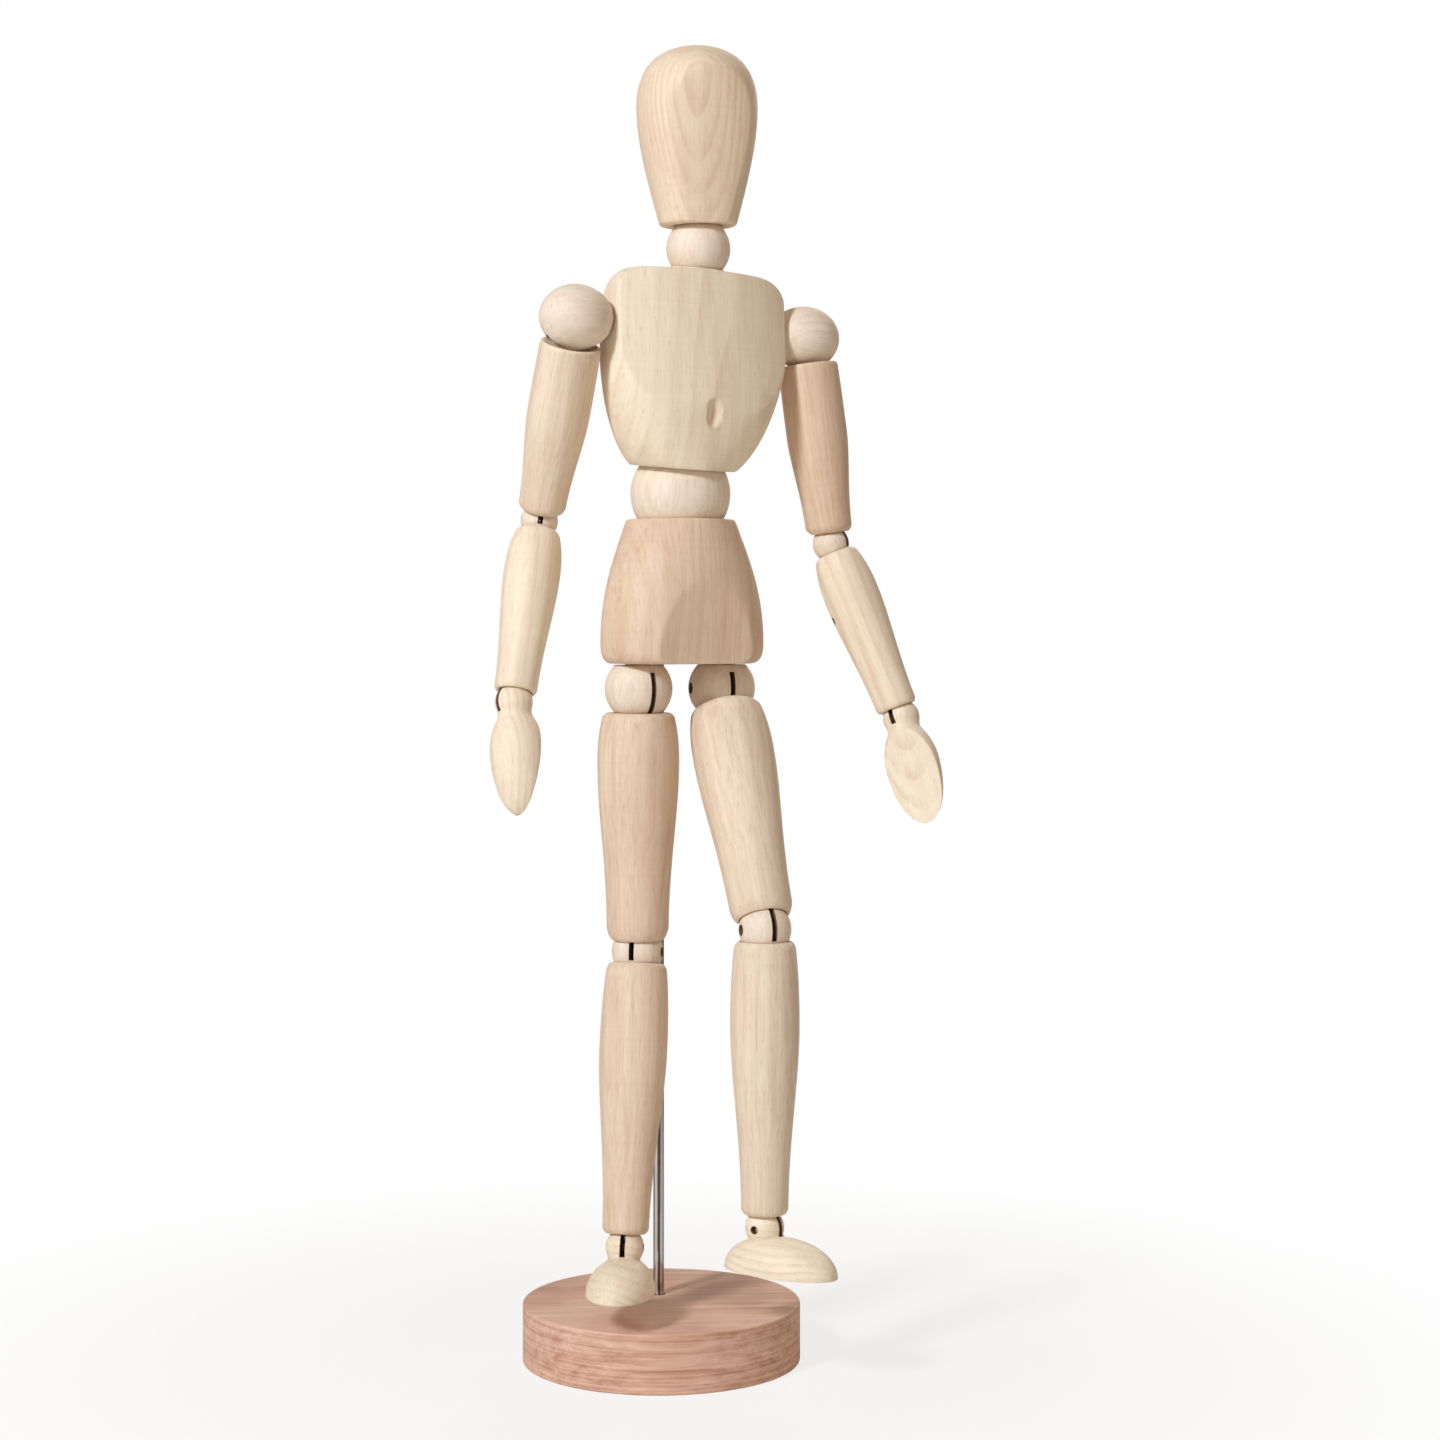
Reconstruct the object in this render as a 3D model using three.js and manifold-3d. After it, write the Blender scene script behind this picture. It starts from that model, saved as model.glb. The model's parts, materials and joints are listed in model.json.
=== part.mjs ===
// Wooden artist's mannequin on its base. Millimetres, +Z up, the figure faces -Y.
// The origin is the centre of the base's underside. The figure's own right-hand side is -X.
import * as THREE from 'three';
import { mergeVertices } from 'three/addons/utils/BufferGeometryUtils.js';
import Module from 'manifold-3d';

const wasm = await Module();
wasm.setup();

// Clearances
const fitGap = 0.3; // between pieces that sit or turn in one another
const rodPassing = 0.2; // between a thigh swinging back and the rod
const footClearance = 6.5; // the lowest sole hangs this far above the base

// Base and rod
const baseRadius = 31.5;
const baseThickness = 13.2;
const baseEdge = 0.8;
const rodRadius = 1.25;
const rodAside = 2.2; // rod from the base's centre, towards the figure's left
const rodBehind = 5.6; // rod from the base's centre, towards the figure's back
const rodSetback = 10.6; // rod behind the middle of the pelvis
const rodInBase = 10;
const rodInPelvis = 16;

// Springs and pins, as radii
const wire = 0.4;
const largePin = 0.8;
const smallPin = 0.6;
const pinRecess = 1; // pin ends lie this deep in their holes
const pinSkin = 1.8; // wood left over the blind end of a pin hole
const pinBeyondBore = 3; // how far trunk pins reach past the bore they cross
const largeCoilGap = 4; // plain wire between a large ball and a spring's coil
const smallCoilGap = 3; // plain wire between a small ball and a spring's coil
const coilLead = 2; // plain wire between a hook's room and its coil
const trunkBore = 2.6;
const shoulderBore = 2.5;
const ballBore = 2.4; // hole through the waist and neck balls
const legBore = 2.9;
const armBore = 2.2;
const shoulderHookShift = wire + fitGap / 2; // two hooks share each shoulder pin, one to each side
const trunkHookShift = largePin + fitGap / 2; // neck and waist hooks share the shoulder spring

// Trunk
const pelvisHeight = 32.5;
const pelvisHalfWidth = 18.9;
const pelvisHalfDepth = 14.5;
const pelvisCorner = 3;
const pelvisNeckOut = 1.2; // the rounding below the waist cup, outwards and downwards
const pelvisNeckDown = 2;
const pelvisArchHeight = 20; // top of the carved front above the pelvis underside
const pelvisArchDepth = 2.4; // how deep that flat cuts at the underside
const pelvisArchLean = 1.8; // how far the flat comes forward over its height
const waistBall = 11.3;
const waistShow = 5.85; // from the waist ball's centre to the wood above and below it
const trunkRim = 1.9; // wood around the waist cups
const chestHeight = 45;
const chestHalfWidth = 22.4;
const chestHalfDepth = 14;
const chestCrown = 0.8; // rise of the chest's domed top
const chestSideFlat = 1.3; // depth of the flats that the shoulder balls bear on
const shoulderHeight = 31.7; // above the chest's underside, where the chest is widest
const chestFlatTilt = 15.5; // degrees, the carved front leans back
const chestFlatFoot = 15.5; // where that flat begins above the chest's underside
const dimpleHalfWidth = 1.35;
const dimpleHalfHeight = 3.2;
const dimpleDrop = 2.6; // below the foot of the carved front
const neckBall = 7.2;
const neckShow = 4.4; // chest top to the neck ball's centre
const headShow = 5.1; // the neck ball's centre to the head's underside
const headHeight = 40.3;
const headRadius = 13.65;
const headWidestAt = 26.5;
const headRim = 2.4; // wood around the neck cup
const headEase = 1;
const chinDepth = 7.3; // face flat in front of the head's axis, at the chin
const browDepth = 11.6; // and at the brow
const facePast = 2; // the face flat's cutter runs past chin and crown
const chinFall = 0.8; // how much the face flat falls back on that run below the chin
const headPinHeight = 24;
const pelvisPinRise = 3.6; // above the rod's end in the pelvis

// Arms
const shoulderBall = 7.25; // radius across the egg
const shoulderOut = 8.3; // the egg's outer half length
const shoulderIn = 8.6; // the egg's inner half length, before its end is cut flat
const shoulderSeat = 7.9; // where the inner end is cut
const upperArmLength = 47.8;
const upperArmBelly = 7;
const upperArmBellyAt = 22;
const elbowBall = 4.2;
const forearmLength = 43.2;
const forearmBelly = 6.45;
const forearmBellyAt = 13;
const forearmPinAt = 17;
const forearmPinTurn = 37; // degrees, from straight behind towards the body
const wristBall = 4.2;
const handLength = 25.6; // wrist to finger tip
const handRadius = 6.4;
const handWidestAt = 11.6;
const handNeck = 3.3; // where the hand leaves its ball
const palmAtWrist = 6.2; // palm flat from the hand's axis, at the neck
const palmAtTip = -1.7;

// Legs
const hipBall = 7.6;
const hipShow = 5.6; // the hip ball's centre to the pelvis underside
const hipBridge = 1.6; // wood left above the saw slot
const hipSpigot = 3;
const hipSpigotLength = 10;
const thighLength = 59;
const thighBelly = 9.2;
const thighBellyAt = 16.5;
const kneeBall = 5.8;
const shinLength = 65;
const shinBelly = 7.6;
const shinBellyAt = 21;
const shinPinAt = 24;
const ankleBall = 4.3;
const footLength = 27.6;
const footHalfWidth = 7.5;
const footHeel = 9.3; // heel behind the ankle
const soleDepth = 9.2; // sole below the ankle
const soleUnderAxis = 0.1; // sole below the foot's widest level
const pegShare = 0.45; // peg radius as a share of its ball's radius
const pegShareLength = 1.35; // peg length below its ball, in peg diameters
const bendRelief = 40; // degrees, bevels that let elbows and knees fold

// Limb ends: the cup or seat for a ball, the rim's distance from the ball's centre, its wood and its rounding
const thighTop = { cup: hipBall + fitGap, show: 5.4, wall: 1.3, ease: 1.1, easeLength: 1.1 };
const thighFoot = { cup: kneeBall + fitGap, show: 2.7, wall: 0.3, ease: 1.2, easeLength: 2.8 };
const shinTop = { cup: kneeBall + fitGap, show: 2.6, wall: 0.3, ease: 1, easeLength: 1.6 };
const shinFoot = { cup: ankleBall + fitGap, show: 2.9, wall: 0.7, ease: 0.9, easeLength: 1.2 };
const upperArmTop = { cup: shoulderOut + fitGap, show: 6.2, wall: 0.5, ease: 0.4, easeLength: 0.8 };
const upperArmFoot = { cup: elbowBall + fitGap, show: 2.5, wall: 0.6, ease: 1, easeLength: 1.5 };
const forearmTop = { cup: elbowBall + fitGap, show: 2.5, wall: 0.6, ease: 0.9, easeLength: 1.4 };
const forearmFoot = { cup: wristBall + fitGap, show: 2.4, wall: 0.4, ease: 0.55, easeLength: 0.9 };

// Pose, in degrees. Swings and bends are forward, lifts are outward, turns are towards the figure's left.
const trunkPose = { lean: 1.8, twist: 0, bend: 5.5, headTilt: -4.6, headTurn: -21, headNod: -5.5 };
const leftPose = {
  swing: 8.5, lift: 8.6, armTurn: 34, elbow: 16, handTurn: -6, wrist: 16,
  hipTurn: -8.6, hipSwing: 27.5, thighTurn: 1, knee: -26.5, footTurn: 34, ankle: -1,
};
const rightPose = {
  swing: -16, lift: -1, armTurn: -23, elbow: 38, handTurn: 23, wrist: 14,
  hipTurn: 0, hipSwing: -0.5, thighTurn: -42, knee: 9, footTurn: 7, ankle: -7,
};

// Sides of the turned shapes
const trunkSides = 22;
const limbSides = 14;
const ballSides = 12;
const boreSides = 8;
const pinSides = 6;
const past = 60; // cutters reach past every piece by at least this much

// Materials
const paleWood = 0xe6d3b3;
const ballWood = 0xe2c4a4;
const baseWood = 0xc79e86;
const steel = 0xb9bcc0;
const springSteel = 0x8f9296;

// Sizes that follow from the ones above
const rad = THREE.MathUtils.degToRad;
const rimRadius = (end) => Math.sqrt(end.cup ** 2 - end.show ** 2);
const hookRadius = (pin) => pin + fitGap + wire; // to the middle of the hook's wire
const hookReach = (pin) => hookRadius(pin) + wire + fitGap; // room that a hook needs round its pin
const slotHalf = wire + fitGap;
const shoulderSlotHalf = shoulderHookShift + wire + fitGap;
const waistRim = Math.sqrt((waistBall + fitGap) ** 2 - waistShow ** 2) + trunkRim;
const hipSpread = thighBelly + rodRadius + rodPassing;
const shoulderSpread = chestHalfWidth - chestSideFlat + fitGap + shoulderSeat;
const neckRise = waistShow + chestHeight + neckShow;
const pelvisPinHeight = rodInPelvis + pelvisPinRise;

// Helpers
const at = (x, y, z = 0) => new THREE.Vector3(x, y, z);
const point = (radius, height) => new THREE.Vector2(radius, height);
const mix = THREE.MathUtils.lerp;
const xAxis = at(1, 0);
const yAxis = at(0, 1);
const innerSide = (side) => at(-side, 0);
const outerSide = (side) => at(side, 0);

function solid(geometry) {
  const bare = new THREE.BufferGeometry();
  bare.setAttribute('position', geometry.getAttribute('position').clone());
  bare.setIndex(geometry.getIndex());
  const joined = mergeVertices(bare, 1e-4);
  const spots = joined.getAttribute('position');
  const corners = joined.getIndex().array;
  const triangles = [];
  const [a, b, c] = [at(0, 0), at(0, 0), at(0, 0)];
  let volume = 0;
  for (let i = 0; i < corners.length; i += 3) {
    const [p, q, r] = corners.slice(i, i + 3);
    if (p === q || q === r || r === p) continue;
    triangles.push([p, q, r]);
    a.fromBufferAttribute(spots, p);
    b.fromBufferAttribute(spots, q);
    c.fromBufferAttribute(spots, r);
    volume += a.dot(b.cross(c));
  }
  const outward = volume > 0 ? triangles : triangles.map(([p, q, r]) => [p, r, q]);
  return new wasm.Manifold(new wasm.Mesh({
    numProp: 3,
    vertProperties: new Float32Array(spots.array),
    triVerts: new Uint32Array(outward.flat()),
  }));
}

// A shape turned about the Z axis from its outline.
function turned(outline, segments) {
  return new THREE.LatheGeometry(outline, segments).rotateX(Math.PI / 2);
}

// A body of oval sections: the outline gives half width against height, depthOf gives half depth.
function ovalBody(outline, depthOf, segments) {
  const geometry = turned(outline, segments);
  const spots = geometry.getAttribute('position');
  for (let i = 0; i < spots.count; i += 1) {
    const reach = Math.hypot(spots.getX(i), spots.getY(i));
    const squeeze = reach > 0 ? depthOf(reach) / reach : 1;
    spots.setY(i, spots.getY(i) * squeeze);
  }
  return geometry;
}

function cylinder(from, to, radius, segments) {
  const span = to.clone().sub(from);
  const turn = new THREE.Quaternion().setFromUnitVectors(at(0, 1), span.clone().normalize());
  const middle = from.clone().addScaledVector(span, 0.5);
  const geometry = new THREE.CylinderGeometry(radius, radius, span.length(), segments);
  return geometry.applyQuaternion(turn).translate(middle.x, middle.y, middle.z);
}

function block(from, to) {
  const size = to.clone().sub(from);
  const middle = from.clone().add(to).multiplyScalar(0.5);
  return new THREE.BoxGeometry(size.x, size.y, size.z).translate(middle.x, middle.y, middle.z);
}

// A round cutter whose flat facets stay outside the wanted radius.
function ball(radius, centre, segments) {
  const corner = radius / Math.cos(Math.PI / segments);
  const geometry = new THREE.SphereGeometry(corner, segments, Math.round(segments / 2));
  return geometry.rotateX(Math.PI / 2).translate(centre.x, centre.y, centre.z);
}

function curve(steps, ...points) {
  const kind = points.length === 3 ? THREE.QuadraticBezierCurve : THREE.CubicBezierCurve;
  return new kind(...points).getPoints(steps);
}

// Part of a circle about a point on the axis, between two distances from the axis.
function dish(centreHeight, radius, fromReach, toReach, side, steps) {
  const points = [];
  for (let i = 0; i <= steps; i += 1) {
    const reach = mix(fromReach, toReach, i / steps);
    points.push(point(reach, centreHeight + side * Math.sqrt(radius ** 2 - reach ** 2)));
  }
  return points;
}

function join(...geometries) {
  return wasm.Manifold.union(geometries.map(solid));
}

function cut(body, ...geometries) {
  return wasm.Manifold.difference([body, ...geometries.map(solid)]);
}

// Springs: a hook round a pin, straight wire and a close-wound coil drawn as a plain cylinder.
function hook(centre, pinAxis, pin) {
  const turn = new THREE.Quaternion().setFromUnitVectors(at(0, 0, 1), pinAxis.clone().normalize());
  const ring = new THREE.TorusGeometry(hookRadius(pin), wire, 4, 6);
  return ring.applyQuaternion(turn).translate(centre.x, centre.y, centre.z);
}

const straightWire = (from, to) => cylinder(from, to, wire, 4);
const coil = (from, to, radius) => cylinder(from, to, radius, boreSides);

// Base and rod
function makeBase(rod) {
  const body = turned([
    point(0, 0),
    ...curve(2, point(baseRadius - baseEdge, 0), point(baseRadius, 0), point(baseRadius, baseEdge)),
    ...curve(
      2,
      point(baseRadius, baseThickness - baseEdge),
      point(baseRadius, baseThickness),
      point(baseRadius - baseEdge, baseThickness),
    ),
    point(0, baseThickness),
  ], 32);
  const foot = at(rod.x, rod.y, baseThickness - rodInBase - fitGap);
  const above = at(rod.x, rod.y, baseThickness + fitGap);
  return cut(solid(body), cylinder(foot, above, rodRadius + fitGap, boreSides));
}

function makeRod(bottom, top) {
  const ease = rodRadius / 2;
  return solid(turned([
    point(0, bottom),
    point(rodRadius - ease, bottom),
    point(rodRadius, bottom + ease),
    point(rodRadius, top - ease),
    point(rodRadius - ease, top),
    point(0, top),
  ], boreSides));
}

// Trunk. Each piece stands on its own underside at height 0. Its pin is driven in from behind.
function trunkPinHole(height, pin) {
  return cylinder(at(0, -trunkBore - pinBeyondBore, height), at(0, past, height), pin + fitGap, pinSides);
}

function makePelvis() {
  const shoulder = waistRim + pelvisNeckOut;
  const widest = point(pelvisHalfWidth, pelvisCorner * 1.5);
  const neckline = point(shoulder, pelvisHeight - pelvisNeckDown);
  const outline = [
    point(0, 0),
    ...curve(2, point(pelvisHalfWidth - pelvisCorner, 0), point(pelvisHalfWidth, 0), widest),
    ...curve(
      4,
      widest,
      point(pelvisHalfWidth, pelvisHeight * 0.5),
      point(mix(shoulder, pelvisHalfWidth, 0.45), pelvisHeight * 0.72),
      neckline,
    ).slice(1),
    ...curve(2, neckline, point(waistRim + 0.5, pelvisHeight), point(waistRim, pelvisHeight)).slice(1),
    point(0, pelvisHeight),
  ];
  const deepening = (pelvisHalfDepth - waistRim) / (pelvisHalfWidth - waistRim);
  const depthOf = (reach) => (reach < waistRim ? reach : waistRim + (reach - waistRim) * deepening);
  const waist = at(0, 0, pelvisHeight + waistShow);
  const archTilt = Math.atan(pelvisArchLean / pelvisArchHeight);
  const arch = block(at(-past, -past, -past), at(past, 0, past)).rotateX(archTilt);
  arch.translate(0, -pelvisHalfDepth + pelvisArchDepth, 0);
  const spigotBore = (side) => cylinder(
    at(side * hipSpread, 0, -1), at(side * hipSpread, 0, hipSpigotLength + fitGap), hipSpigot + fitGap, ballSides,
  );
  return cut(
    solid(ovalBody(outline, depthOf, trunkSides)),
    ball(waistBall + fitGap, waist, 20),
    cylinder(at(0, 0, pelvisPinHeight - hookReach(largePin)), waist, trunkBore + fitGap, boreSides),
    trunkPinHole(pelvisPinHeight, largePin),
    cylinder(at(0, rodSetback, -1), at(0, rodSetback, rodInPelvis + fitGap), rodRadius + fitGap, boreSides),
    spigotBore(-1),
    spigotBore(1),
    arch,
  );
}

function makeChest() {
  const foot = point(waistRim + 0.5, 0.3);
  const widest = point(chestHalfWidth, shoulderHeight);
  const brim = point(chestHalfWidth * 0.64, chestHeight - chestCrown);
  const outline = [
    point(0, 0),
    point(waistRim, 0),
    ...curve(
      5,
      foot,
      point(mix(waistRim, chestHalfWidth, 0.56), shoulderHeight * 0.16),
      point(chestHalfWidth, shoulderHeight * 0.54),
      widest,
    ),
    ...curve(
      4,
      widest,
      point(chestHalfWidth, mix(shoulderHeight, chestHeight, 0.45)),
      point(chestHalfWidth * 0.99, chestHeight - chestCrown * 2.4),
      brim,
    ).slice(1),
    point(0, chestHeight),
  ];
  const deepening = (chestHalfDepth - waistRim) / (chestHalfWidth - waistRim);
  const depthOf = (reach) => (reach < waistRim ? reach : waistRim + (reach - waistRim) * deepening);
  const front = block(at(-past, -past, -past), at(past, 0, past)).rotateX(-rad(chestFlatTilt));
  front.translate(0, -chestHalfDepth + 0.9, chestFlatFoot);
  const seat = (side) => {
    const inner = side * (chestHalfWidth - chestSideFlat);
    const outer = side * past;
    const low = at(Math.min(inner, outer), -past, -past);
    return block(low, at(Math.max(inner, outer), past, past));
  };
  const dimple = ball(1, at(0, 0), boreSides).scale(dimpleHalfWidth, 1, dimpleHalfHeight);
  dimple.translate(0, -chestHalfDepth + 1, chestFlatFoot - dimpleDrop);
  const neck = at(0, 0, chestHeight + neckShow);
  const waist = at(0, 0, -waistShow);
  return cut(
    solid(ovalBody(outline, depthOf, trunkSides)),
    ball(waistBall + fitGap, waist, 20),
    ball(neckBall + fitGap, neck, 16),
    cylinder(waist, neck, trunkBore + fitGap, boreSides),
    cylinder(at(-past, 0, shoulderHeight), at(past, 0, shoulderHeight), shoulderBore, boreSides),
    front,
    dimple,
    seat(-1),
    seat(1),
  );
}

function makeHead() {
  const under = Math.sqrt((neckBall + fitGap) ** 2 - headShow ** 2) + headRim;
  const jaw = point(under + headEase, headEase);
  const widest = point(headRadius, headWidestAt);
  const dome = headHeight - headWidestAt;
  const outline = [
    point(0, 0),
    ...curve(2, point(under, 0), point(under + headEase * 0.8, 0), jaw),
    ...curve(
      3,
      jaw,
      point(mix(jaw.x, headRadius, 0.55), headWidestAt * 0.4),
      point(headRadius, headWidestAt * 0.72),
      widest,
    ).slice(1),
    ...curve(
      6,
      widest,
      point(headRadius, headWidestAt + dome * 0.65),
      point(headRadius * 0.65, headHeight),
      point(0, headHeight),
    ).slice(1),
  ];
  const profile = new THREE.Shape();
  profile.moveTo(chinDepth - chinFall, -facePast);
  profile.quadraticCurveTo(mix(chinDepth, browDepth, 0.75), headHeight * 0.42, browDepth, headHeight + facePast);
  profile.lineTo(headRadius * 2, headHeight + facePast);
  profile.lineTo(headRadius * 2, -facePast);
  const width = headRadius * 3;
  const face = new THREE.ExtrudeGeometry(profile, { depth: width, bevelEnabled: false, curveSegments: 5 });
  // The profile's first axis points forward and its second one up; it is pulled out from side to side.
  face.translate(0, 0, -width / 2).rotateX(Math.PI / 2).rotateZ(-Math.PI / 2);
  const neck = at(0, 0, -headShow);
  return cut(
    solid(turned(outline, trunkSides)),
    ball(neckBall + fitGap, neck, 16),
    cylinder(neck, at(0, 0, headPinHeight + hookReach(smallPin)), trunkBore, boreSides),
    trunkPinHole(headPinHeight, smallPin),
    face,
  );
}

function makeBoredBall(radius, segments) {
  const rise = Math.sqrt(radius ** 2 - ballBore ** 2);
  const outline = [
    point(ballBore, -rise),
    ...new Array(7).fill(0).map((_, i) => {
      const angle = Math.asin(rise / radius) * (i / 3 - 1);
      return point(radius * Math.cos(angle), radius * Math.sin(angle));
    }),
    point(ballBore, rise),
    point(ballBore, -rise),
  ];
  return solid(turned(outline, segments));
}

// Limbs hang from the ball they are sprung to, which is at height 0.
function limbOutside(top, foot, length, belly, bellyAt) {
  const topOuter = rimRadius(top) + top.wall;
  const footOuter = rimRadius(foot) + foot.wall;
  const footRim = foot.show - length;
  const upper = point(topOuter + top.ease, -top.show - top.easeLength);
  const lower = point(footOuter + foot.ease, footRim + foot.easeLength);
  const widest = point(belly, -bellyAt);
  return [
    point(topOuter, -top.show),
    ...curve(
      3,
      upper,
      point(mix(upper.x, belly, 0.7), mix(upper.y, widest.y, 0.3)),
      point(belly, mix(upper.y, widest.y, 0.6)),
      widest,
    ),
    ...curve(
      3,
      widest,
      point(belly, mix(widest.y, lower.y, 0.3)),
      point(mix(lower.x, belly, 0.05), mix(widest.y, lower.y, 0.6)),
      lower,
    ).slice(1),
    point(footOuter, footRim),
  ];
}

// A limb with a cup at each end and a bore from one to the other.
function makeOpenLimb(top, foot, length, belly, bellyAt, bore, segments) {
  const outline = [
    ...limbOutside(top, foot, length, belly, bellyAt),
    ...dish(-length, foot.cup, rimRadius(foot), bore, 1, 2),
    ...dish(0, top.cup, bore, rimRadius(top), -1, 2),
  ];
  outline.push(outline[0].clone());
  return solid(turned(outline, segments));
}

// A limb with a ball pegged into its top, a cup at its foot and a pinned bore above that cup.
// The pin is driven in from the side that pinAxis points to.
function makePeggedLimb(top, foot, length, belly, bellyAt, bore, pinAt, pinAxis, topBall, segments) {
  const peg = topBall * pegShare + fitGap;
  const pegEnd = pegBottom(topBall) - fitGap;
  const boreEnd = hookReach(smallPin) - pinAt;
  const outline = [
    point(0, boreEnd),
    point(bore, boreEnd),
    ...dish(-length, foot.cup, bore, rimRadius(foot), 1, 2),
    ...limbOutside(top, foot, length, belly, bellyAt).reverse(),
    ...dish(0, top.cup, rimRadius(top), peg, -1, 2),
    point(peg, pegEnd),
    point(0, pegEnd),
  ];
  const blind = pinAxis.clone().multiplyScalar(pinSkin - belly).setZ(-pinAt);
  const open = pinAxis.clone().multiplyScalar(past).setZ(-pinAt);
  return cut(solid(turned(outline, segments)), cylinder(blind, open, smallPin + fitGap, pinSides));
}

const pegBottom = (radius) => -radius - 2 * radius * pegShare * pegShareLength;

// Bevels at a limb's lower end, on planes through the joint's pin.
function relieve(body, length, sides) {
  const wedges = sides.map((side) => {
    const wedge = block(at(-past, Math.min(0, side * past), -past), at(past, Math.max(0, side * past), 0));
    return wedge.rotateX(side * rad(bendRelief)).translate(0, 0, -length);
  });
  return cut(body, ...wedges);
}

// A saw-slotted ball on a peg, pinned through its middle along the given axis.
function makePeggedBall(radius, pin, pinAxis, segments) {
  const peg = radius * pegShare;
  const pegTop = -Math.sqrt(radius ** 2 - peg ** 2);
  const steps = 5;
  const low = Math.asin(pegTop / radius);
  const outline = [point(0, pegBottom(radius)), point(peg, pegBottom(radius))];
  for (let i = 0; i <= steps; i += 1) {
    const angle = mix(low, Math.PI / 2, i / steps);
    outline.push(point(i === steps ? 0 : radius * Math.cos(angle), radius * Math.sin(angle)));
  }
  return cut(solid(turned(outline, segments)), ...sawAndDrill(radius, pin, pinAxis));
}

// The saw slot for a spring's hook, and the pin's blind hole from the side that pinAxis points to.
function sawAndDrill(radius, pin, pinAxis) {
  const floor = -hookReach(pin);
  const slot = pinAxis.x === 0
    ? block(at(-past, -slotHalf, floor), at(past, slotHalf, past))
    : block(at(-slotHalf, -past, floor), at(slotHalf, past, past));
  const blind = pinAxis.clone().multiplyScalar(pinSkin - radius);
  return [slot, cylinder(blind, pinAxis.clone().multiplyScalar(past), pin + fitGap, pinSides)];
}

function makePin(radius, from, to) {
  return solid(cylinder(from, to, radius, pinSides));
}

function makeHipBall(pinAxis) {
  const crown = hipShow - fitGap;
  const high = Math.asin(crown / hipBall);
  const outline = [];
  const steps = 7;
  for (let i = 0; i <= steps; i += 1) {
    const angle = mix(-Math.PI / 2, high, i / steps);
    outline.push(point(i === 0 ? 0 : hipBall * Math.cos(angle), hipBall * Math.sin(angle)));
  }
  const spigotEnd = hipShow + hipSpigotLength - fitGap;
  outline.push(point(hipSpigot, crown), point(hipSpigot, spigotEnd), point(0, spigotEnd));
  const slot = block(at(-slotHalf, -past, -past), at(slotHalf, past, crown - hipBridge));
  const blind = pinAxis.clone().multiplyScalar(pinSkin - hipBall);
  const hole = cylinder(blind, pinAxis.clone().multiplyScalar(past), largePin + fitGap, pinSides);
  return cut(solid(turned(outline, limbSides)), slot, hole);
}

// The egg between chest and arm, turned about the side-to-side axis; its slot opens downwards.
function makeShoulderBall(side) {
  const low = -Math.asin(shoulderSeat / shoulderIn);
  const outline = [point(0, -shoulderSeat)];
  const steps = 8;
  for (let i = 0; i <= steps; i += 1) {
    const angle = mix(low, Math.PI / 2, i / steps);
    const reach = angle < 0 ? shoulderIn : shoulderOut;
    outline.push(point(i === steps ? 0 : shoulderBall * Math.cos(angle), reach * Math.sin(angle)));
  }
  const egg = turned(outline, limbSides).rotateY(side * Math.PI / 2);
  const room = hookReach(largePin);
  const slotOut = shoulderOut * 0.78;
  const slot = block(
    at(Math.min(-side * room, side * slotOut), -shoulderSlotHalf, -past),
    at(Math.max(-side * room, side * slotOut), shoulderSlotHalf, room),
  );
  const passage = cylinder(at(0, 0), at(-side * past, 0), shoulderBore, boreSides);
  const hole = cylinder(at(0, pinSkin - shoulderBall), at(0, past), largePin + fitGap, pinSides);
  return cut(solid(egg), slot, passage, hole);
}

// A turned teardrop and its ball in one piece, with a flat palm towards the body.
function makeHand(side) {
  const neck = -Math.sqrt(wristBall ** 2 - handNeck ** 2);
  const tip = point(0, -handLength);
  const widest = point(handRadius, -handWidestAt);
  const outline = [];
  const steps = 5;
  for (let i = 0; i < steps; i += 1) {
    const angle = mix(Math.PI / 2, Math.asin(neck / wristBall), i / steps);
    outline.push(point(i === 0 ? 0 : wristBall * Math.cos(angle), wristBall * Math.sin(angle)));
  }
  outline.push(
    ...curve(
      3,
      point(handNeck, neck),
      point(mix(handNeck, handRadius, 0.5), mix(neck, widest.y, 0.22)),
      point(handRadius, mix(neck, widest.y, 0.55)),
      widest,
    ),
    ...curve(
      5,
      widest,
      point(handRadius, mix(widest.y, tip.y, 0.5)),
      point(handRadius * 0.5, tip.y),
      tip,
    ).slice(1),
  );
  const slope = Math.atan((palmAtWrist - palmAtTip) / (handLength + neck));
  const palm = block(at(Math.min(0, -side * past), -past, -past), at(Math.max(0, -side * past), past, past));
  palm.rotateY(-side * slope).translate(-side * palmAtWrist, 0, neck);
  return cut(solid(turned(outline, limbSides)), palm, ...sawAndDrill(wristBall, smallPin, yAxis));
}

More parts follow.
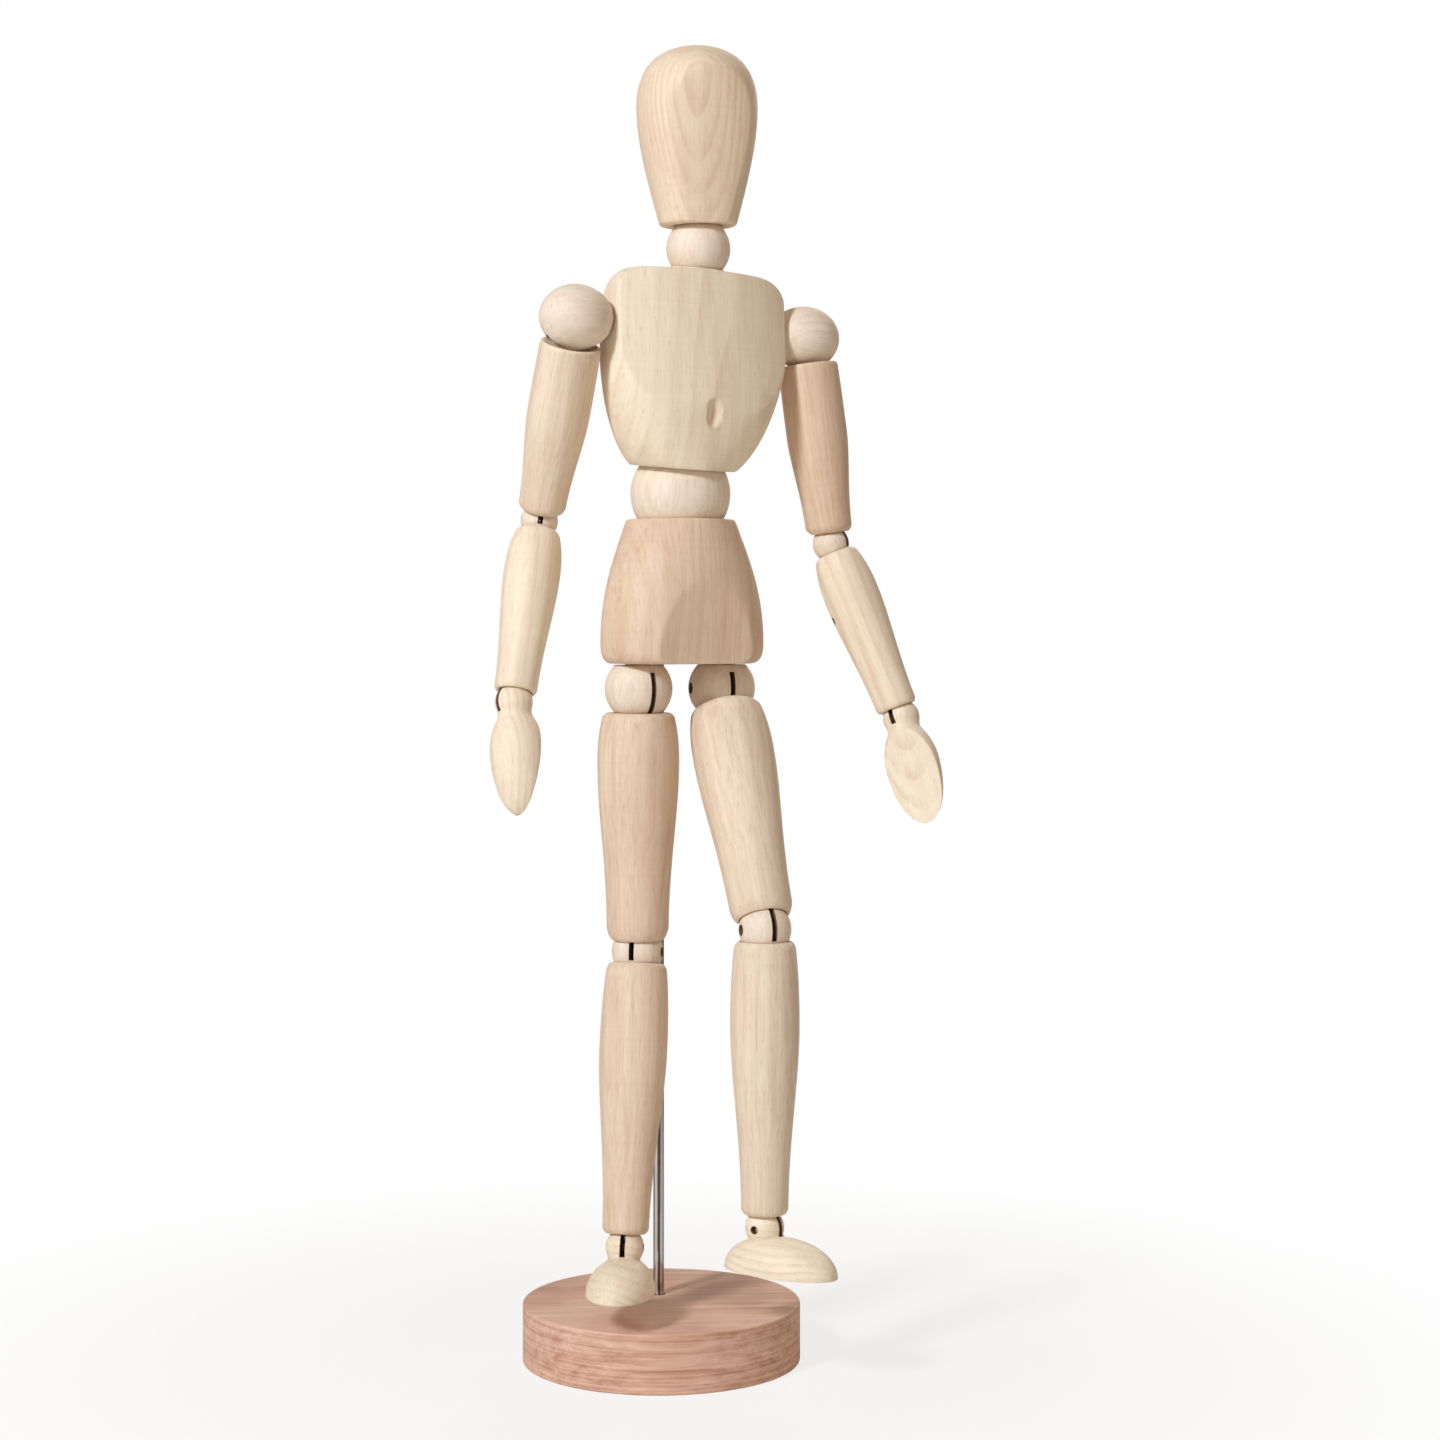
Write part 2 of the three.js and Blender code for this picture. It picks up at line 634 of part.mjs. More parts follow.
// A turned egg lying along the foot, cut flat for the sole, in one piece with its ball.
function makeFoot(side) {
  const widest = point(footHalfWidth, footLength * 0.52);
  const toe = point(0, footLength);
  const outline = [
    ...curve(
      5,
      point(0, 0),
      point(footHalfWidth * 0.68, 0),
      point(footHalfWidth * 0.94, widest.y * 0.36),
      widest,
    ),
    ...curve(
      5,
      widest,
      point(footHalfWidth, mix(widest.y, toe.y, 0.55)),
      point(footHalfWidth * 0.55, toe.y),
      toe,
    ).slice(1),
  ];
  const axisHeight = soleUnderAxis - soleDepth;
  const egg = turned(outline, limbSides + 1).rotateX(Math.PI / 2).translate(0, footHeel, axisHeight);
  const ankle = new THREE.SphereGeometry(ankleBall, ballSides, 8).rotateX(Math.PI / 2);
  const sole = block(at(-past, -past, -past), at(past, past, -soleDepth));
  return cut(join(egg, ankle), sole, ...sawAndDrill(ankleBall, smallPin, innerSide(side)));
}

// The assembly
function mesh(name, body, colour, roughness, metalness = 0) {
  const { vertProperties, triVerts } = body.getMesh();
  const geometry = new THREE.BufferGeometry();
  geometry.setAttribute('position', new THREE.BufferAttribute(new Float32Array(vertProperties), 3));
  geometry.setIndex(new THREE.BufferAttribute(new Uint32Array(triVerts), 1));
  geometry.computeVertexNormals();
  const material = new THREE.MeshStandardMaterial({ color: colour, roughness, metalness });
  const piece = new THREE.Mesh(geometry, material);
  piece.name = name;
  return piece;
}

const limbWood = (name, body) => mesh(name, body, paleWood, 0.62);
const turnedBall = (name, body) => mesh(name, body, ballWood, 0.62);
const pinSteel = (name, body) => mesh(name, body, steel, 0.35, 1);
const springWire = (name, body) => mesh(name, body, springSteel, 0.4, 1);

// A joint is a group that turns about one of its own axes; what hangs on the joint is added to it.
function joint(parent, name, place, axis, degrees) {
  const group = new THREE.Group();
  group.name = name;
  group.userData.axis = axis;
  group.position.copy(place);
  group.rotation[axis] = rad(degrees);
  parent.add(group);
  return group;
}

// A pin across a limb or ball, driven in from the side that axis points to.
function crossPin(radius, woodRadius, axis, height = 0) {
  const blind = axis.clone().multiplyScalar(pinSkin + fitGap - woodRadius).setZ(height);
  const end = axis.clone().multiplyScalar(woodRadius - pinRecess).setZ(height);
  return makePin(radius, blind, end);
}

const below = (depth, x = 0, y = 0) => at(x, y, -depth);
const turnedAxis = (axis, degrees) => axis.clone().applyAxisAngle(at(0, 0, 1), rad(degrees));

// A spring down a limb's bore, from one hook to the other.
function limbSpring(top, topAxis, topPin, topShift, foot, footAxis, footPin, bore, coilTop, coilFoot) {
  return join(
    hook(below(top, 0, topShift), topAxis, topPin),
    straightWire(below(top + hookRadius(topPin), 0, topShift), below(coilTop + wire, 0, topShift)),
    coil(below(coilTop), below(coilFoot), bore - fitGap),
    straightWire(below(coilFoot - wire), below(foot - hookRadius(footPin))),
    hook(below(foot), footAxis, footPin),
  );
}

const shapes = {
  pelvis: makePelvis(),
  chest: makeChest(),
  head: makeHead(),
  waistBall: makeBoredBall(waistBall, trunkSides),
  neckBall: makeBoredBall(neckBall, limbSides + 1),
  upperArm: relieve(
    makeOpenLimb(upperArmTop, upperArmFoot, upperArmLength, upperArmBelly, upperArmBellyAt, armBore, limbSides),
    upperArmLength,
    [1],
  ),
  thigh: relieve(
    makeOpenLimb(thighTop, thighFoot, thighLength, thighBelly, thighBellyAt, legBore, limbSides),
    thighLength,
    [1],
  ),
  shin: makePeggedLimb(
    shinTop, shinFoot, shinLength, shinBelly, shinBellyAt, armBore, shinPinAt, yAxis, kneeBall, limbSides,
  ),
};

function addArm(chest, prefix, side, pose) {
  const shoulderPlace = at(side * shoulderSpread, 0, waistShow + shoulderHeight);
  const swing = joint(chest, `${prefix}_shoulder_swing`, shoulderPlace, 'x', -pose.swing);
  swing.add(turnedBall(`${prefix}_shoulder_ball`, makeShoulderBall(side)));
  swing.add(pinSteel(`${prefix}_shoulder_pin`, crossPin(largePin, shoulderBall, yAxis)));
  const lift = joint(swing, `${prefix}_arm_lift`, at(0, 0), 'y', -side * pose.lift);
  const armCoilTop = shoulderOut + largeCoilGap;
  lift.add(springWire(`${prefix}_upper_arm_spring`, limbSpring(
    0, yAxis, largePin, shoulderHookShift,
    upperArmLength, turnedAxis(xAxis, pose.armTurn), smallPin, armBore,
    armCoilTop, upperArmLength - elbowBall - largeCoilGap,
  )));
  const upperArm = joint(lift, `${prefix}_arm_turn`, at(0, 0), 'z', pose.armTurn);
  upperArm.add(limbWood(`${prefix}_upper_arm`, shapes.upperArm));
  const forearm = joint(upperArm, `${prefix}_elbow`, below(upperArmLength), 'x', -pose.elbow);
  const elbowSide = outerSide(side);
  forearm.add(turnedBall(`${prefix}_elbow_ball`, makePeggedBall(elbowBall, smallPin, elbowSide, ballSides)));
  forearm.add(pinSteel(`${prefix}_elbow_pin`, crossPin(smallPin, elbowBall, elbowSide)));
  const anchorTurn = 90 + side * forearmPinTurn;
  const anchorAxis = turnedAxis(xAxis, anchorTurn);
  forearm.add(limbWood(`${prefix}_forearm`, makePeggedLimb(
    forearmTop, forearmFoot, forearmLength, forearmBelly, forearmBellyAt,
    armBore, forearmPinAt, anchorAxis, elbowBall, limbSides,
  )));
  forearm.add(pinSteel(`${prefix}_forearm_pin`, crossPin(smallPin, forearmBelly, anchorAxis, -forearmPinAt)));
  const turn = joint(forearm, `${prefix}_hand_turn`, below(forearmLength), 'z', pose.handTurn);
  const spring = limbSpring(
    forearmPinAt, turnedAxis(xAxis, anchorTurn - pose.handTurn), smallPin, 0,
    forearmLength, yAxis, smallPin, armBore,
    forearmPinAt + hookReach(smallPin) + coilLead, forearmLength - wristBall - smallCoilGap,
  );
  turn.add(springWire(`${prefix}_forearm_spring`, spring.translate([0, 0, forearmLength])));
  const hand = joint(turn, `${prefix}_wrist`, at(0, 0), 'y', side * pose.wrist);
  hand.add(pinSteel(`${prefix}_wrist_pin`, crossPin(smallPin, wristBall, yAxis)));
  hand.add(limbWood(`${prefix}_hand`, makeHand(side)));
}

function addLeg(pelvis, prefix, side, pose) {
  const hipPlace = at(side * hipSpread, 0, -hipShow);
  const turn = joint(pelvis, `${prefix}_hip_turn`, hipPlace, 'z', pose.hipTurn);
  const pinSide = innerSide(side);
  turn.add(turnedBall(`${prefix}_hip_ball`, makeHipBall(pinSide)));
  turn.add(pinSteel(`${prefix}_hip_pin`, crossPin(largePin, hipBall, pinSide)));
  const swing = joint(turn, `${prefix}_hip_swing`, at(0, 0), 'x', -pose.hipSwing);
  swing.add(springWire(`${prefix}_thigh_spring`, limbSpring(
    0, xAxis, largePin, 0,
    thighLength, turnedAxis(xAxis, pose.thighTurn), largePin, legBore,
    hipBall + largeCoilGap, thighLength - kneeBall - largeCoilGap,
  )));
  const thigh = joint(swing, `${prefix}_thigh_turn`, at(0, 0), 'z', pose.thighTurn);
  thigh.add(limbWood(`${prefix}_thigh`, shapes.thigh));
  const shin = joint(thigh, `${prefix}_knee`, below(thighLength), 'x', -pose.knee);
  shin.add(turnedBall(`${prefix}_knee_ball`, makePeggedBall(kneeBall, largePin, pinSide, ballSides)));
  shin.add(pinSteel(`${prefix}_knee_pin`, crossPin(largePin, kneeBall, pinSide)));
  shin.add(limbWood(`${prefix}_shin`, shapes.shin));
  shin.add(pinSteel(`${prefix}_shin_pin`, crossPin(smallPin, shinBelly, yAxis, -shinPinAt)));
  const footTurn = joint(shin, `${prefix}_foot_turn`, below(shinLength), 'z', pose.footTurn);
  const spring = limbSpring(
    shinPinAt, turnedAxis(yAxis, -pose.footTurn), smallPin, 0,
    shinLength, xAxis, smallPin, armBore,
    shinPinAt + hookReach(smallPin) + coilLead, shinLength - ankleBall - smallCoilGap,
  );
  footTurn.add(springWire(`${prefix}_shin_spring`, spring.translate([0, 0, shinLength])));
  const foot = joint(footTurn, `${prefix}_ankle`, at(0, 0), 'x', -pose.ankle);
  foot.add(pinSteel(`${prefix}_ankle_pin`, crossPin(smallPin, ankleBall, pinSide)));
  foot.add(limbWood(`${prefix}_foot`, makeFoot(side)));
}

// The neck and waist springs hook over the middle of this spring inside the chest.
function makeShoulderSpring() {
  const height = waistShow + shoulderHeight;
  const y = -shoulderHookShift;
  const inner = trunkBore + smallCoilGap;
  const outer = shoulderSpread - shoulderSeat - coilLead;
  const end = shoulderSpread - hookRadius(largePin);
  const coilRadius = shoulderBore - fitGap - shoulderHookShift;
  return join(
    hook(at(-shoulderSpread, y, height), yAxis, largePin),
    hook(at(shoulderSpread, y, height), yAxis, largePin),
    straightWire(at(-end, y, height), at(end, y, height)),
    coil(at(-outer, y, height), at(-inner, y, height), coilRadius),
    coil(at(inner, y, height), at(outer, y, height), coilRadius),
  );
}

// Drawn about the waist ball's centre: the upper half follows the chest, the lower half the pelvis.
function makeWaistSpring(chestTurn) {
  const x = -trunkHookShift;
  const y = -shoulderHookShift;
  const top = waistShow + shoulderHeight;
  const coilTop = top - hookReach(wire) - largeCoilGap;
  const coilFoot = waistBall + smallCoilGap;
  const pinDrop = waistShow + pelvisHeight - pelvisPinHeight;
  const lower = [
    straightWire(at(0, 0), below(pinDrop - hookRadius(largePin))),
    hook(below(pinDrop), yAxis, largePin),
  ];
  const back = chestTurn.clone().invert();
  return join(
    hook(at(x, y, top), xAxis, wire),
    straightWire(at(x, y, coilTop - wire), at(x, y, top - hookRadius(wire))),
    coil(at(0, 0, coilFoot), at(0, 0, coilTop), trunkBore - fitGap),
    straightWire(at(0, 0, -wire / 2), at(0, 0, coilFoot + wire)),
    ...lower.map((geometry) => geometry.applyQuaternion(back)),
  );
}

// Drawn about the neck ball's centre: the lower half follows the chest, the upper half the head.
function makeNeckSpring(headTurn) {
  const y = -shoulderHookShift;
  const x = trunkHookShift;
  const drop = neckRise - waistShow - shoulderHeight;
  const pinRise = headShow + headPinHeight;
  const coilFoot = neckBall + coilLead;
  const coilTop = pinRise - hookReach(smallPin) - coilLead;
  const upper = [
    straightWire(at(0, 0, -wire / 2), at(0, 0, coilFoot + wire)),
    coil(at(0, 0, coilFoot), at(0, 0, coilTop), trunkBore - 2 * fitGap),
    straightWire(at(0, 0, coilTop - wire), at(0, 0, pinRise - hookRadius(smallPin))),
    hook(at(0, 0, pinRise), yAxis, smallPin),
  ];
  return join(
    hook(below(drop, x, y), xAxis, wire),
    straightWire(below(drop - hookRadius(wire), x, y), at(0, 0)),
    ...upper.map((geometry) => geometry.applyQuaternion(headTurn)),
  );
}

const part = new THREE.Group();
const rodPlace = at(rodAside, rodBehind);
const figure = joint(part, 'figure_turn', rodPlace, 'z', 0);
const pelvis = new THREE.Group();
pelvis.position.set(0, -rodSetback, 0);
figure.add(pelvis);
pelvis.add(limbWood('pelvis', shapes.pelvis));
pelvis.add(pinSteel('pelvis_pin', makePin(
  largePin,
  at(0, -trunkBore - pinBeyondBore + fitGap, pelvisPinHeight),
  at(0, pelvisHalfDepth - pinRecess - 1, pelvisPinHeight),
)));

const waistPlace = at(0, 0, pelvisHeight + waistShow);
const lean = joint(pelvis, 'waist_lean', waistPlace, 'y', trunkPose.lean);
lean.add(turnedBall('waist_ball', shapes.waistBall));
const twist = joint(lean, 'waist_twist', at(0, 0), 'z', trunkPose.twist);
const chest = joint(twist, 'waist_bend', at(0, 0), 'x', trunkPose.bend);
const chestTurn = lean.quaternion.clone().multiply(twist.quaternion).multiply(chest.quaternion);
const chestPiece = limbWood('chest', shapes.chest);
chestPiece.position.z = waistShow;
chest.add(chestPiece);
chest.add(springWire('shoulder_spring', makeShoulderSpring()));
chest.add(springWire('waist_spring', makeWaistSpring(chestTurn)));

const tilt = joint(chest, 'neck_tilt', at(0, 0, neckRise), 'y', trunkPose.headTilt);
tilt.add(turnedBall('neck_ball', shapes.neckBall));
const headTurn = joint(tilt, 'neck_turn', at(0, 0), 'z', trunkPose.headTurn);
const head = joint(headTurn, 'neck_nod', at(0, 0), 'x', trunkPose.headNod);
const neckTurn = tilt.quaternion.clone().multiply(headTurn.quaternion).multiply(head.quaternion);
const headPiece = limbWood('head', shapes.head);
headPiece.position.z = headShow;
head.add(headPiece);
const headPin = pinSteel('head_pin', makePin(
  smallPin,
  at(0, -trunkBore - pinBeyondBore + fitGap, headPinHeight),
  at(0, headRadius - pinRecess - 1, headPinHeight),
));
headPin.position.z = headShow;
head.add(headPin);
const neckSpring = springWire('neck_spring', makeNeckSpring(neckTurn));
neckSpring.position.z = neckRise;
chest.add(neckSpring);

addArm(chest, 'left', 1, leftPose);
addArm(chest, 'right', -1, rightPose);
addLeg(pelvis, 'left', 1, leftPose);
addLeg(pelvis, 'right', -1, rightPose);

// The lower foot decides how high the rod carries the figure.
figure.updateMatrixWorld(true);
const soles = ['left_foot', 'right_foot'].map((name) => {
  const box = new THREE.Box3().setFromObject(figure.getObjectByName(name), true);
  return box.min.z;
});
figure.position.z = baseThickness + footClearance - Math.min(...soles);

part.add(mesh('base', makeBase(rodPlace), baseWood, 0.6));
const rod = pinSteel('support_rod', makeRod(baseThickness - rodInBase, figure.position.z + rodInPelvis));
rod.position.copy(rodPlace);
part.add(rod);

export default part;
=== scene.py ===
import json
import math
import bmesh
import bpy
from mathutils import Matrix, Vector


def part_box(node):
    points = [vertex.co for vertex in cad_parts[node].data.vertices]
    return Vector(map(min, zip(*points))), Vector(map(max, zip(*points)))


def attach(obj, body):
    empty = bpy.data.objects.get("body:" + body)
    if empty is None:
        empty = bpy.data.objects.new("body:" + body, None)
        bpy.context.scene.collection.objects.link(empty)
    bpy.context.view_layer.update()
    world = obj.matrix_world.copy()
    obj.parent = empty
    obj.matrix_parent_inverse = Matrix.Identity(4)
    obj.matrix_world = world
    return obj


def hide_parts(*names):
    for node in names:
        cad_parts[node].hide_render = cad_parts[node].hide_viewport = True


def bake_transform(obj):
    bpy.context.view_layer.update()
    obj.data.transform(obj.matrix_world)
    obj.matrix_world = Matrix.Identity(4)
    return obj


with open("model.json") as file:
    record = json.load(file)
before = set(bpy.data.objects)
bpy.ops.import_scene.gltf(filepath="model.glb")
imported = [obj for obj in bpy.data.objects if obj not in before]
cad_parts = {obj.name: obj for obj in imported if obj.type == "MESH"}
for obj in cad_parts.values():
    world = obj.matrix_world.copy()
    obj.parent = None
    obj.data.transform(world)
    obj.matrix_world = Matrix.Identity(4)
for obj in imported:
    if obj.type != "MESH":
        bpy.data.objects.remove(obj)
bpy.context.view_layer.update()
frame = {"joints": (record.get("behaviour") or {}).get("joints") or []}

joints = {row["name"]: row for row in frame["joints"]}

# Sizes below are millimetres in each piece's own frame; the place matrix brings them to metres.
mm = 0.001
fit = 0.3
slotHalf = 0.58
pinSkin = 1.8
holeSides = 28
bigHook, littleHook, hookShift = 1.5, 1.3, 0.55
sides = ((1, "left"), (-1, "right"))


def jointPoint(name):
    return Vector(joints[name]["pos_m"])


def jointAxis(name, sign=1):
    return Vector(joints[name]["axis"]).normalized() * sign


def placeAt(origin, zAxis, xAxis):
    z = zAxis.normalized()
    y = z.cross(xAxis).normalized()
    turn = Matrix((y.cross(z), y, z)).transposed().to_4x4()
    return Matrix.Translation(origin) @ turn @ Matrix.Scale(mm, 4)


def mix(a, b, share):
    return a + (b - a) * share


# outlines, as (distance from the axis, height)
def bezier(steps, *points):
    line = []
    for i in range(steps + 1):
        row = [Vector(p) for p in points]
        while len(row) > 1:
            row = [a.lerp(b, i / steps) for a, b in zip(row, row[1:])]
        line.append(row[0])
    return line


def bowl(centre, radius, fromReach, toReach, side, steps):
    line = []
    start, end = math.asin(fromReach / radius), math.asin(toReach / radius)
    for i in range(steps + 1):
        angle = mix(start, end, i / steps)
        line.append(Vector((radius * math.sin(angle), centre + side * radius * math.cos(angle))))
    return line


def ballArc(radius, low, high, steps):
    line = []
    for i in range(steps + 1):
        angle = mix(low, high, i / steps)
        line.append(Vector((max(0.0, radius * math.cos(angle)), radius * math.sin(angle))))
    return line


# how far from the axis a cup meets its rim
def rimReach(end):
    return math.sqrt(end["cup"] ** 2 - end["show"] ** 2)


# A turned shape; bend moves each point afterwards, for ovals and carved flats.
def spin(outline, segments, bend=None):
    bm = bmesh.new()
    rows = []
    for reach, height in map(Vector, outline):
        if reach < 1e-6:
            rows.append([bm.verts.new((0, 0, height))])
            continue
        ring = []
        for k in range(segments):
            angle = 2 * math.pi * k / segments
            ring.append(bm.verts.new((reach * math.cos(angle), reach * math.sin(angle), height)))
        rows.append(ring)
    for a, b in zip(rows, rows[1:]):
        for k in range(segments):
            n = (k + 1) % segments
            corners = dict.fromkeys((a[k % len(a)], b[k % len(b)], b[n % len(b)], a[n % len(a)]))
            if len(corners) > 2:
                bm.faces.new(list(corners))
    if bend:
        for vert in bm.verts:
            vert.co = bend(vert.co)
    return closeUp(bm)


def closeUp(bm):
    bmesh.ops.remove_doubles(bm, verts=bm.verts, dist=0.002)
    bmesh.ops.dissolve_degenerate(bm, edges=bm.edges, dist=0.001)
    bmesh.ops.recalc_face_normals(bm, faces=bm.faces)
    mesh = bpy.data.meshes.new("turned")
    bm.to_mesh(mesh)
    bm.free()
    return mesh


def overrun(excess, softness):
    return (excess + math.sqrt(excess * excess + softness * softness)) / 2


# Planes off whatever stands in front of a flat.
def planeOff(p, normal, distance, softness):
    return p - normal * overrun(p.dot(normal) - distance, softness)


# cutters for saw slots and drilled holes
def boxCutter(low, high):
    bm = bmesh.new()
    bmesh.ops.create_cube(bm, size=1)
    low, high = Vector(low), Vector(high)
    for vert in bm.verts:
        vert.co = (low + high) / 2 + Vector(vert.co) * (high - low)
    return closeUp(bm)


def holeCutter(start, end, radius):
    start, end = Vector(start), Vector(end)
    length = (end - start).length
    mesh = spin([(0, 0), (radius, 0), (radius, length), (0, length)], holeSides)
    turn = (end - start).to_track_quat("Z", "Y").to_matrix().to_4x4()
    mesh.transform(Matrix.Translation(start) @ turn)
    return mesh


def linked(name, data):
    made = bpy.data.objects.new(name, data)
    bpy.context.scene.collection.objects.link(made)
    return made


# the mesh of an object once its modifiers have run; the object and its tools go
def settled(made, tools=()):
    depsgraph = bpy.context.evaluated_depsgraph_get()
    mesh = bpy.data.meshes.new_from_object(made.evaluated_get(depsgraph))
    for spare in (made, *tools):
        bpy.data.objects.remove(spare, do_unlink=True)
    return mesh


def reworked(mesh, work):
    bm = bmesh.new()
    bm.from_mesh(mesh)
    work(bm)
    bmesh.ops.recalc_face_normals(bm, faces=bm.faces)
    bm.to_mesh(mesh)
    bm.free()
    return mesh


def carve(mesh, cutters, materials):
    made = linked("carving", mesh)
    tools = []
    for shape in (mesh, *cutters):
        for material in materials:
            shape.materials.append(material)
    for cutter in cutters:
        cutter.polygons.foreach_set("material_index", [1] * len(cutter.polygons))
        tools.append(linked("cutter", cutter))
        cut = made.modifiers.new("cut", "BOOLEAN")
        cut.operation = "DIFFERENCE"
        cut.solver = "EXACT"
        cut.material_mode = "INDEX"
        cut.object = tools[-1]
    return settled(made, tools)


# How sharp an edge or crease must be for the edge tint, and how far the tint spreads
edgeSharpnessSizes = dict(sharpFrom=0.2, sharpSpan=0.6, spread=0.55, rounds=2)


# Wood needs to know its own grain: "grain" holds each point along the timber it was cut from, the edge attribute
# is high on sharp edges and creases, "plank" tells one piece from the next and "tan" how much darker it is: timber
# tone, and painted shade on the pelvis, the right thigh and the left upper arm.
def timberMarks(mesh, grainAlong, pith, plank, tan, depthScale):
    bm = bmesh.new()
    bm.from_mesh(mesh)
    edgeSharpness = [0.0] * len(bm.verts)
    bm.verts.index_update()
    for edge in bm.edges:
        if len(edge.link_faces) != 2:
            continue
        angle = edge.calc_face_angle(0.0)
        sharp = min(1.0, max(0.0, (angle - edgeSharpnessSizes["sharpFrom"]) / edgeSharpnessSizes["sharpSpan"]))
        for vert in edge.verts:
            edgeSharpness[vert.index] = max(edgeSharpness[vert.index], sharp)
    for _ in range(edgeSharpnessSizes["rounds"]):
        spread = list(edgeSharpness)
        for vert in bm.verts:
            near = [edgeSharpness[e.other_vert(vert).index] for e in vert.link_edges]
            if near:
                spread[vert.index] = max(edgeSharpness[vert.index], edgeSharpnessSizes["spread"] * max(near))
        edgeSharpness = spread
    bm.free()
    order = {"z": (0, 1, 2), "y": (0, 2, 1), "x": (2, 1, 0)}[grainAlong]
    grain = []
    for vert in mesh.vertices:
        p = [vert.co[i] for i in order]
        grain += [p[0] + pith[0], p[1] * depthScale + pith[1], p[2]]
    for name, kind, values, field in (
        ("grain", "FLOAT_VECTOR", grain, "vector"),
        ("sharpEdge", "FLOAT", edgeSharpness, "value"),
        ("plank", "FLOAT", [plank] * len(mesh.vertices), "value"),
        ("tan", "FLOAT", [tan] * len(mesh.vertices), "value"),
    ):
        layer = mesh.attributes.new(name, kind, "POINT")
        layer.data.foreach_set(field, values)


plankCount, plankStep = 0, 3.17


def woodPiece(name, mesh, place, finish, pith, cutters=(), grainAlong="z", tan=0.1, depthScale=1.0, body=None):
    global plankCount
    plankCount += 1
    # faces cut by slots and holes take the second wood: sawn grain a little darker, painted near black as shade
    materials = [finish["material"], sawnAndShadedWood]
    if cutters:
        mesh = carve(mesh, cutters, materials)
    else:
        mesh.materials.append(materials[0])
    timberMarks(mesh, grainAlong, pith, plankCount * plankStep, tan, depthScale)
    showPiece(name, mesh, place, body or name, finish["slot"])


def showPiece(name, mesh, place, body, slot, sharpAngle=38, part=""):
    mesh.transform(place)
    mesh.polygons.foreach_set("use_smooth", [True] * len(mesh.polygons))
    mesh.set_sharp_from_angle(angle=math.radians(sharpAngle))
    mesh.name = name + part + "Shape"
    piece = linked(name + part + ".shown", mesh)
    if body:
        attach(piece, body)
    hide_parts(name)
    return piece


# Materials and node trees: an input is a number, a colour or another node's socket.
def feed(tree, node, inputs):
    for key, value in inputs.items():
        if isinstance(value, bpy.types.NodeSocket):
            tree.links.new(value, node.inputs[key])
        else:
            node.inputs[key].default_value = value


def addNode(tree, kind, inputs=None, **settings):
    node = tree.nodes.new(kind)
    for key, value in settings.items():
        setattr(node, key, value)
    feed(tree, node, inputs or {})
    return node


def maths(tree, operation, *values, clamp=False):
    node = addNode(tree, "ShaderNodeMath", dict(enumerate(values)), operation=operation, use_clamp=clamp)
    return node.outputs[0]


def vectorMaths(tree, operation, *values):
    return addNode(tree, "ShaderNodeVectorMath", dict(enumerate(values)), operation=operation).outputs


def stretched(tree, vector, scale):
    return vectorMaths(tree, "MULTIPLY", vector, scale)[0]


def remap(tree, value, fromMin, fromMax, toMin=0.0, toMax=1.0, smooth=True):
    inputs = dict(enumerate((value, fromMin, fromMax, toMin, toMax)))
    kind = "SMOOTHSTEP" if smooth else "LINEAR"
    return addNode(tree, "ShaderNodeMapRange", inputs, interpolation_type=kind).outputs[0]


def blendColour(tree, amount, a, b, kind="MIX"):
    a, b = ((*c, 1.0) if isinstance(c, tuple) else c for c in (a, b))
    return addNode(tree, "ShaderNodeMix", {0: amount, 6: a, 7: b}, data_type="RGBA", blend_type=kind).outputs[2]


def bumped(tree, height, strength, depth):
    inputs = {"Strength": strength, "Distance": depth * mm, "Height": height}
    return addNode(tree, "ShaderNodeBump", inputs).outputs["Normal"]


def newMaterial(name):
    material = bpy.data.materials.new(name)
    material.use_nodes = True
    tree = material.node_tree
    return material, tree, tree.nodes["Principled BSDF"]


# how far each mark reaches across and along the grain, as a scale of its noise
markScales = dict(
    wander=(0.05, 0.05, 0.018), year=(0.2, 0.2, 0.012), streak=(0.5, 0.5, 0.009), dash=(2.4, 2.4, 0.45),
    tone=(0.045, 0.045, 0.02), blush=(0.07, 0.07, 0.03), fibreAlong=0.02, poreAcross=1.8, poreAlong=0.13,
)


